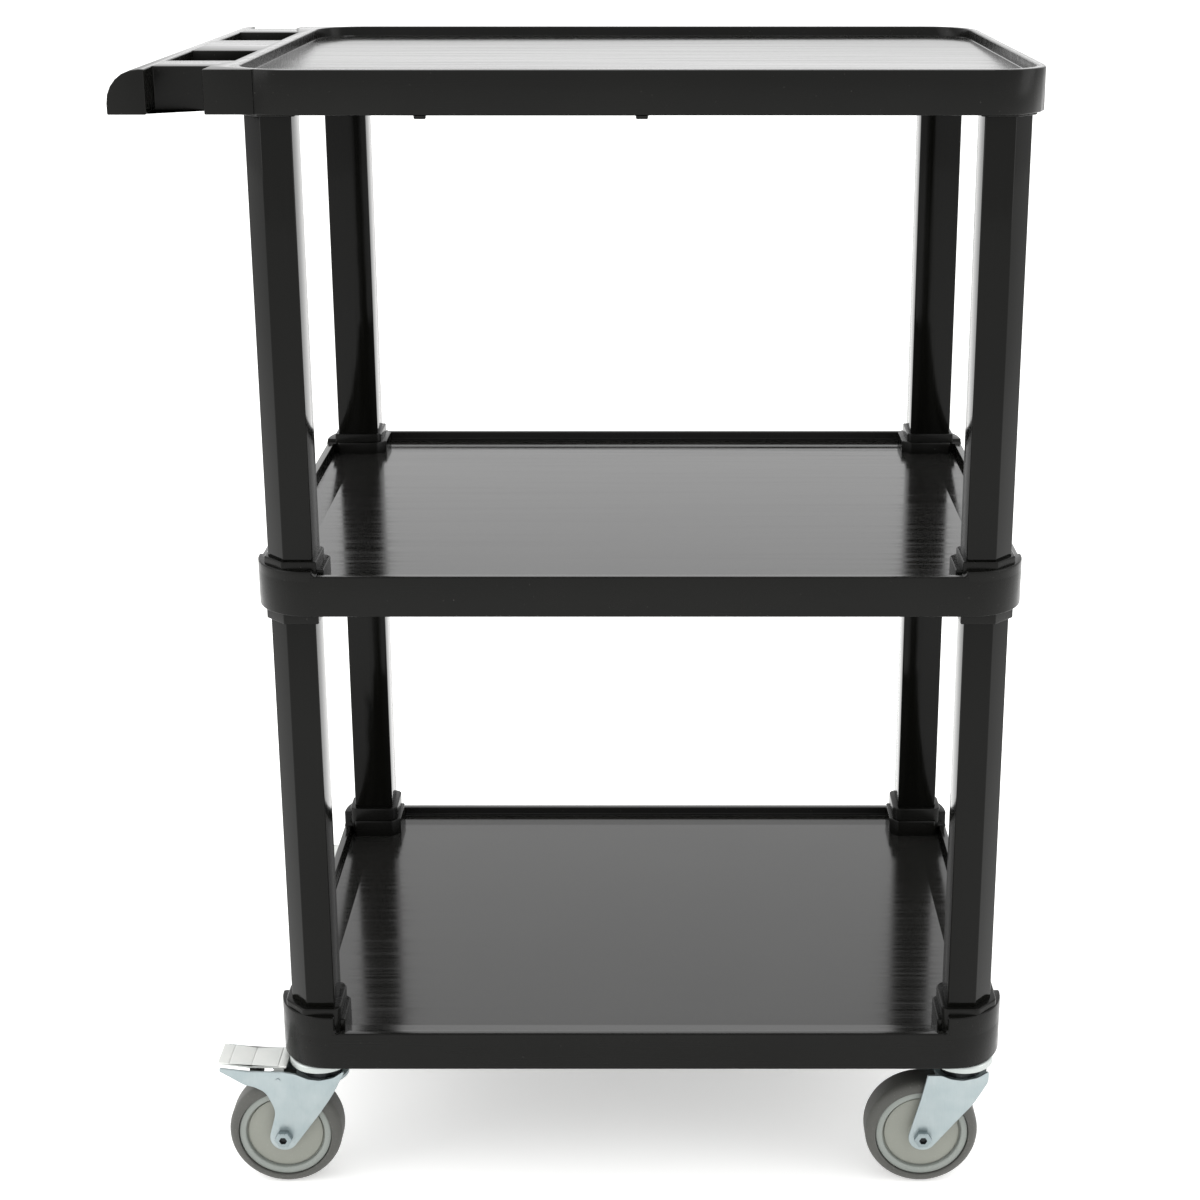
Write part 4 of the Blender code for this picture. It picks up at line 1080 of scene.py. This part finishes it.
def lug_rings(pivot, low_y, high_y):
    """Closed rings of a lug: straight sides down to a round end, with the pin's eye through it.

    The eye's points lie where the outline's do, as seen from the pin, so the outline is
    spaced evenly first: long gaps on it would leave flats in the eye that cut into the pin.
    """
    top = PEDAL_UNDERSIDE + PEDAL_PLATE / 2 - pivot[2]
    sides = rectangle(-EYE_RADIUS, -EYE_RADIUS, EYE_RADIUS, top)
    radii = (LUG_END_RADIUS, LUG_END_RADIUS, LUG_TOP_RADIUS, LUG_TOP_RADIUS)
    outer = evenly_spaced(rounded(sides, radii, steps=6)[0], LUG_POINTS)
    around = np.arctan2(outer[:, 1], outer[:, 0])
    eye = (PIN_RADIUS + THREAD_CLEARANCE) * np.stack((np.cos(around), np.sin(around)), -1)
    levels = ((outer, low_y), (outer, high_y), (eye, high_y), (eye, low_y))
    return standing_on_fork(levels, (pivot[0], 0, pivot[2]))


def shoe_path(swivel_x, axle):
    """Side view of the shoe, whose lower face follows the tread with a small gap."""
    sweep = np.linspace(*SHOE_ANGLES, 5)
    face_x = axle[0] - swivel_x + SHOE_FACE_RADIUS * np.cos(sweep)
    face_z = axle[2] + SHOE_FACE_RADIUS * np.sin(sweep)
    top = PEDAL_UNDERSIDE - THREAD_CLEARANCE
    outline = [*zip(face_x[::-1], face_z[::-1]), (face_x[0], top), (face_x[-1], top)]
    return rounded(outline, SHOE_EDGE, steps=3)


for corner in BRAKED_CORNERS:
    swivel_x, swivel_y = JOINT_PLACES[f"swivel_{corner}"][:2]
    pivot = JOINT_PLACES[f"brake_{corner}"]
    body = f"pedal_{corner}"
    at = (swivel_x, 0, 0)
    thickness = edged(swivel_y - PEDAL_HALF, swivel_y + PEDAL_HALF, PEDAL_SIDE_EDGE)
    rings = carried(pedal_path(), thickness, at, "Y")
    node = f"brake_pedal_{corner}"
    skin(f"{node}_plate", rings, PALE_ZINC, body, "white_zinc", (node,))
    width = LUG_THICKNESS - FORK_EDGE
    for label, near in (("near", -PEDAL_HALF + FORK_EDGE), ("far", PEDAL_HALF - LUG_THICKNESS)):
        rings = lug_rings(pivot, swivel_y + near, swivel_y + near + width)
        skin(f"{node}_{label}_lug", rings, PALE_ZINC, body, "white_zinc", closed=True)
    thickness = edged(swivel_y - SHOE_HALF, swivel_y + SHOE_HALF, SHOE_SIDE_EDGE)
    rings = carried(shoe_path(swivel_x, JOINT_PLACES[f"spin_{corner}"]), thickness, at, "Y")
    node = f"brake_shoe_{corner}"
    skin(f"{node}_block", rings, SHOE_RUBBER, body, "brake_rubber", (node,))


# The box of the finished model is written beside the box of the CAD model it was built
# on, so that the two can be compared.

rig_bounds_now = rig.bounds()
with open("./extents.json", "w") as size_file:
    json.dump({"cad": [list(p) for p in CAD_BOUNDS], "visual": [list(p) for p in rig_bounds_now]}, size_file)
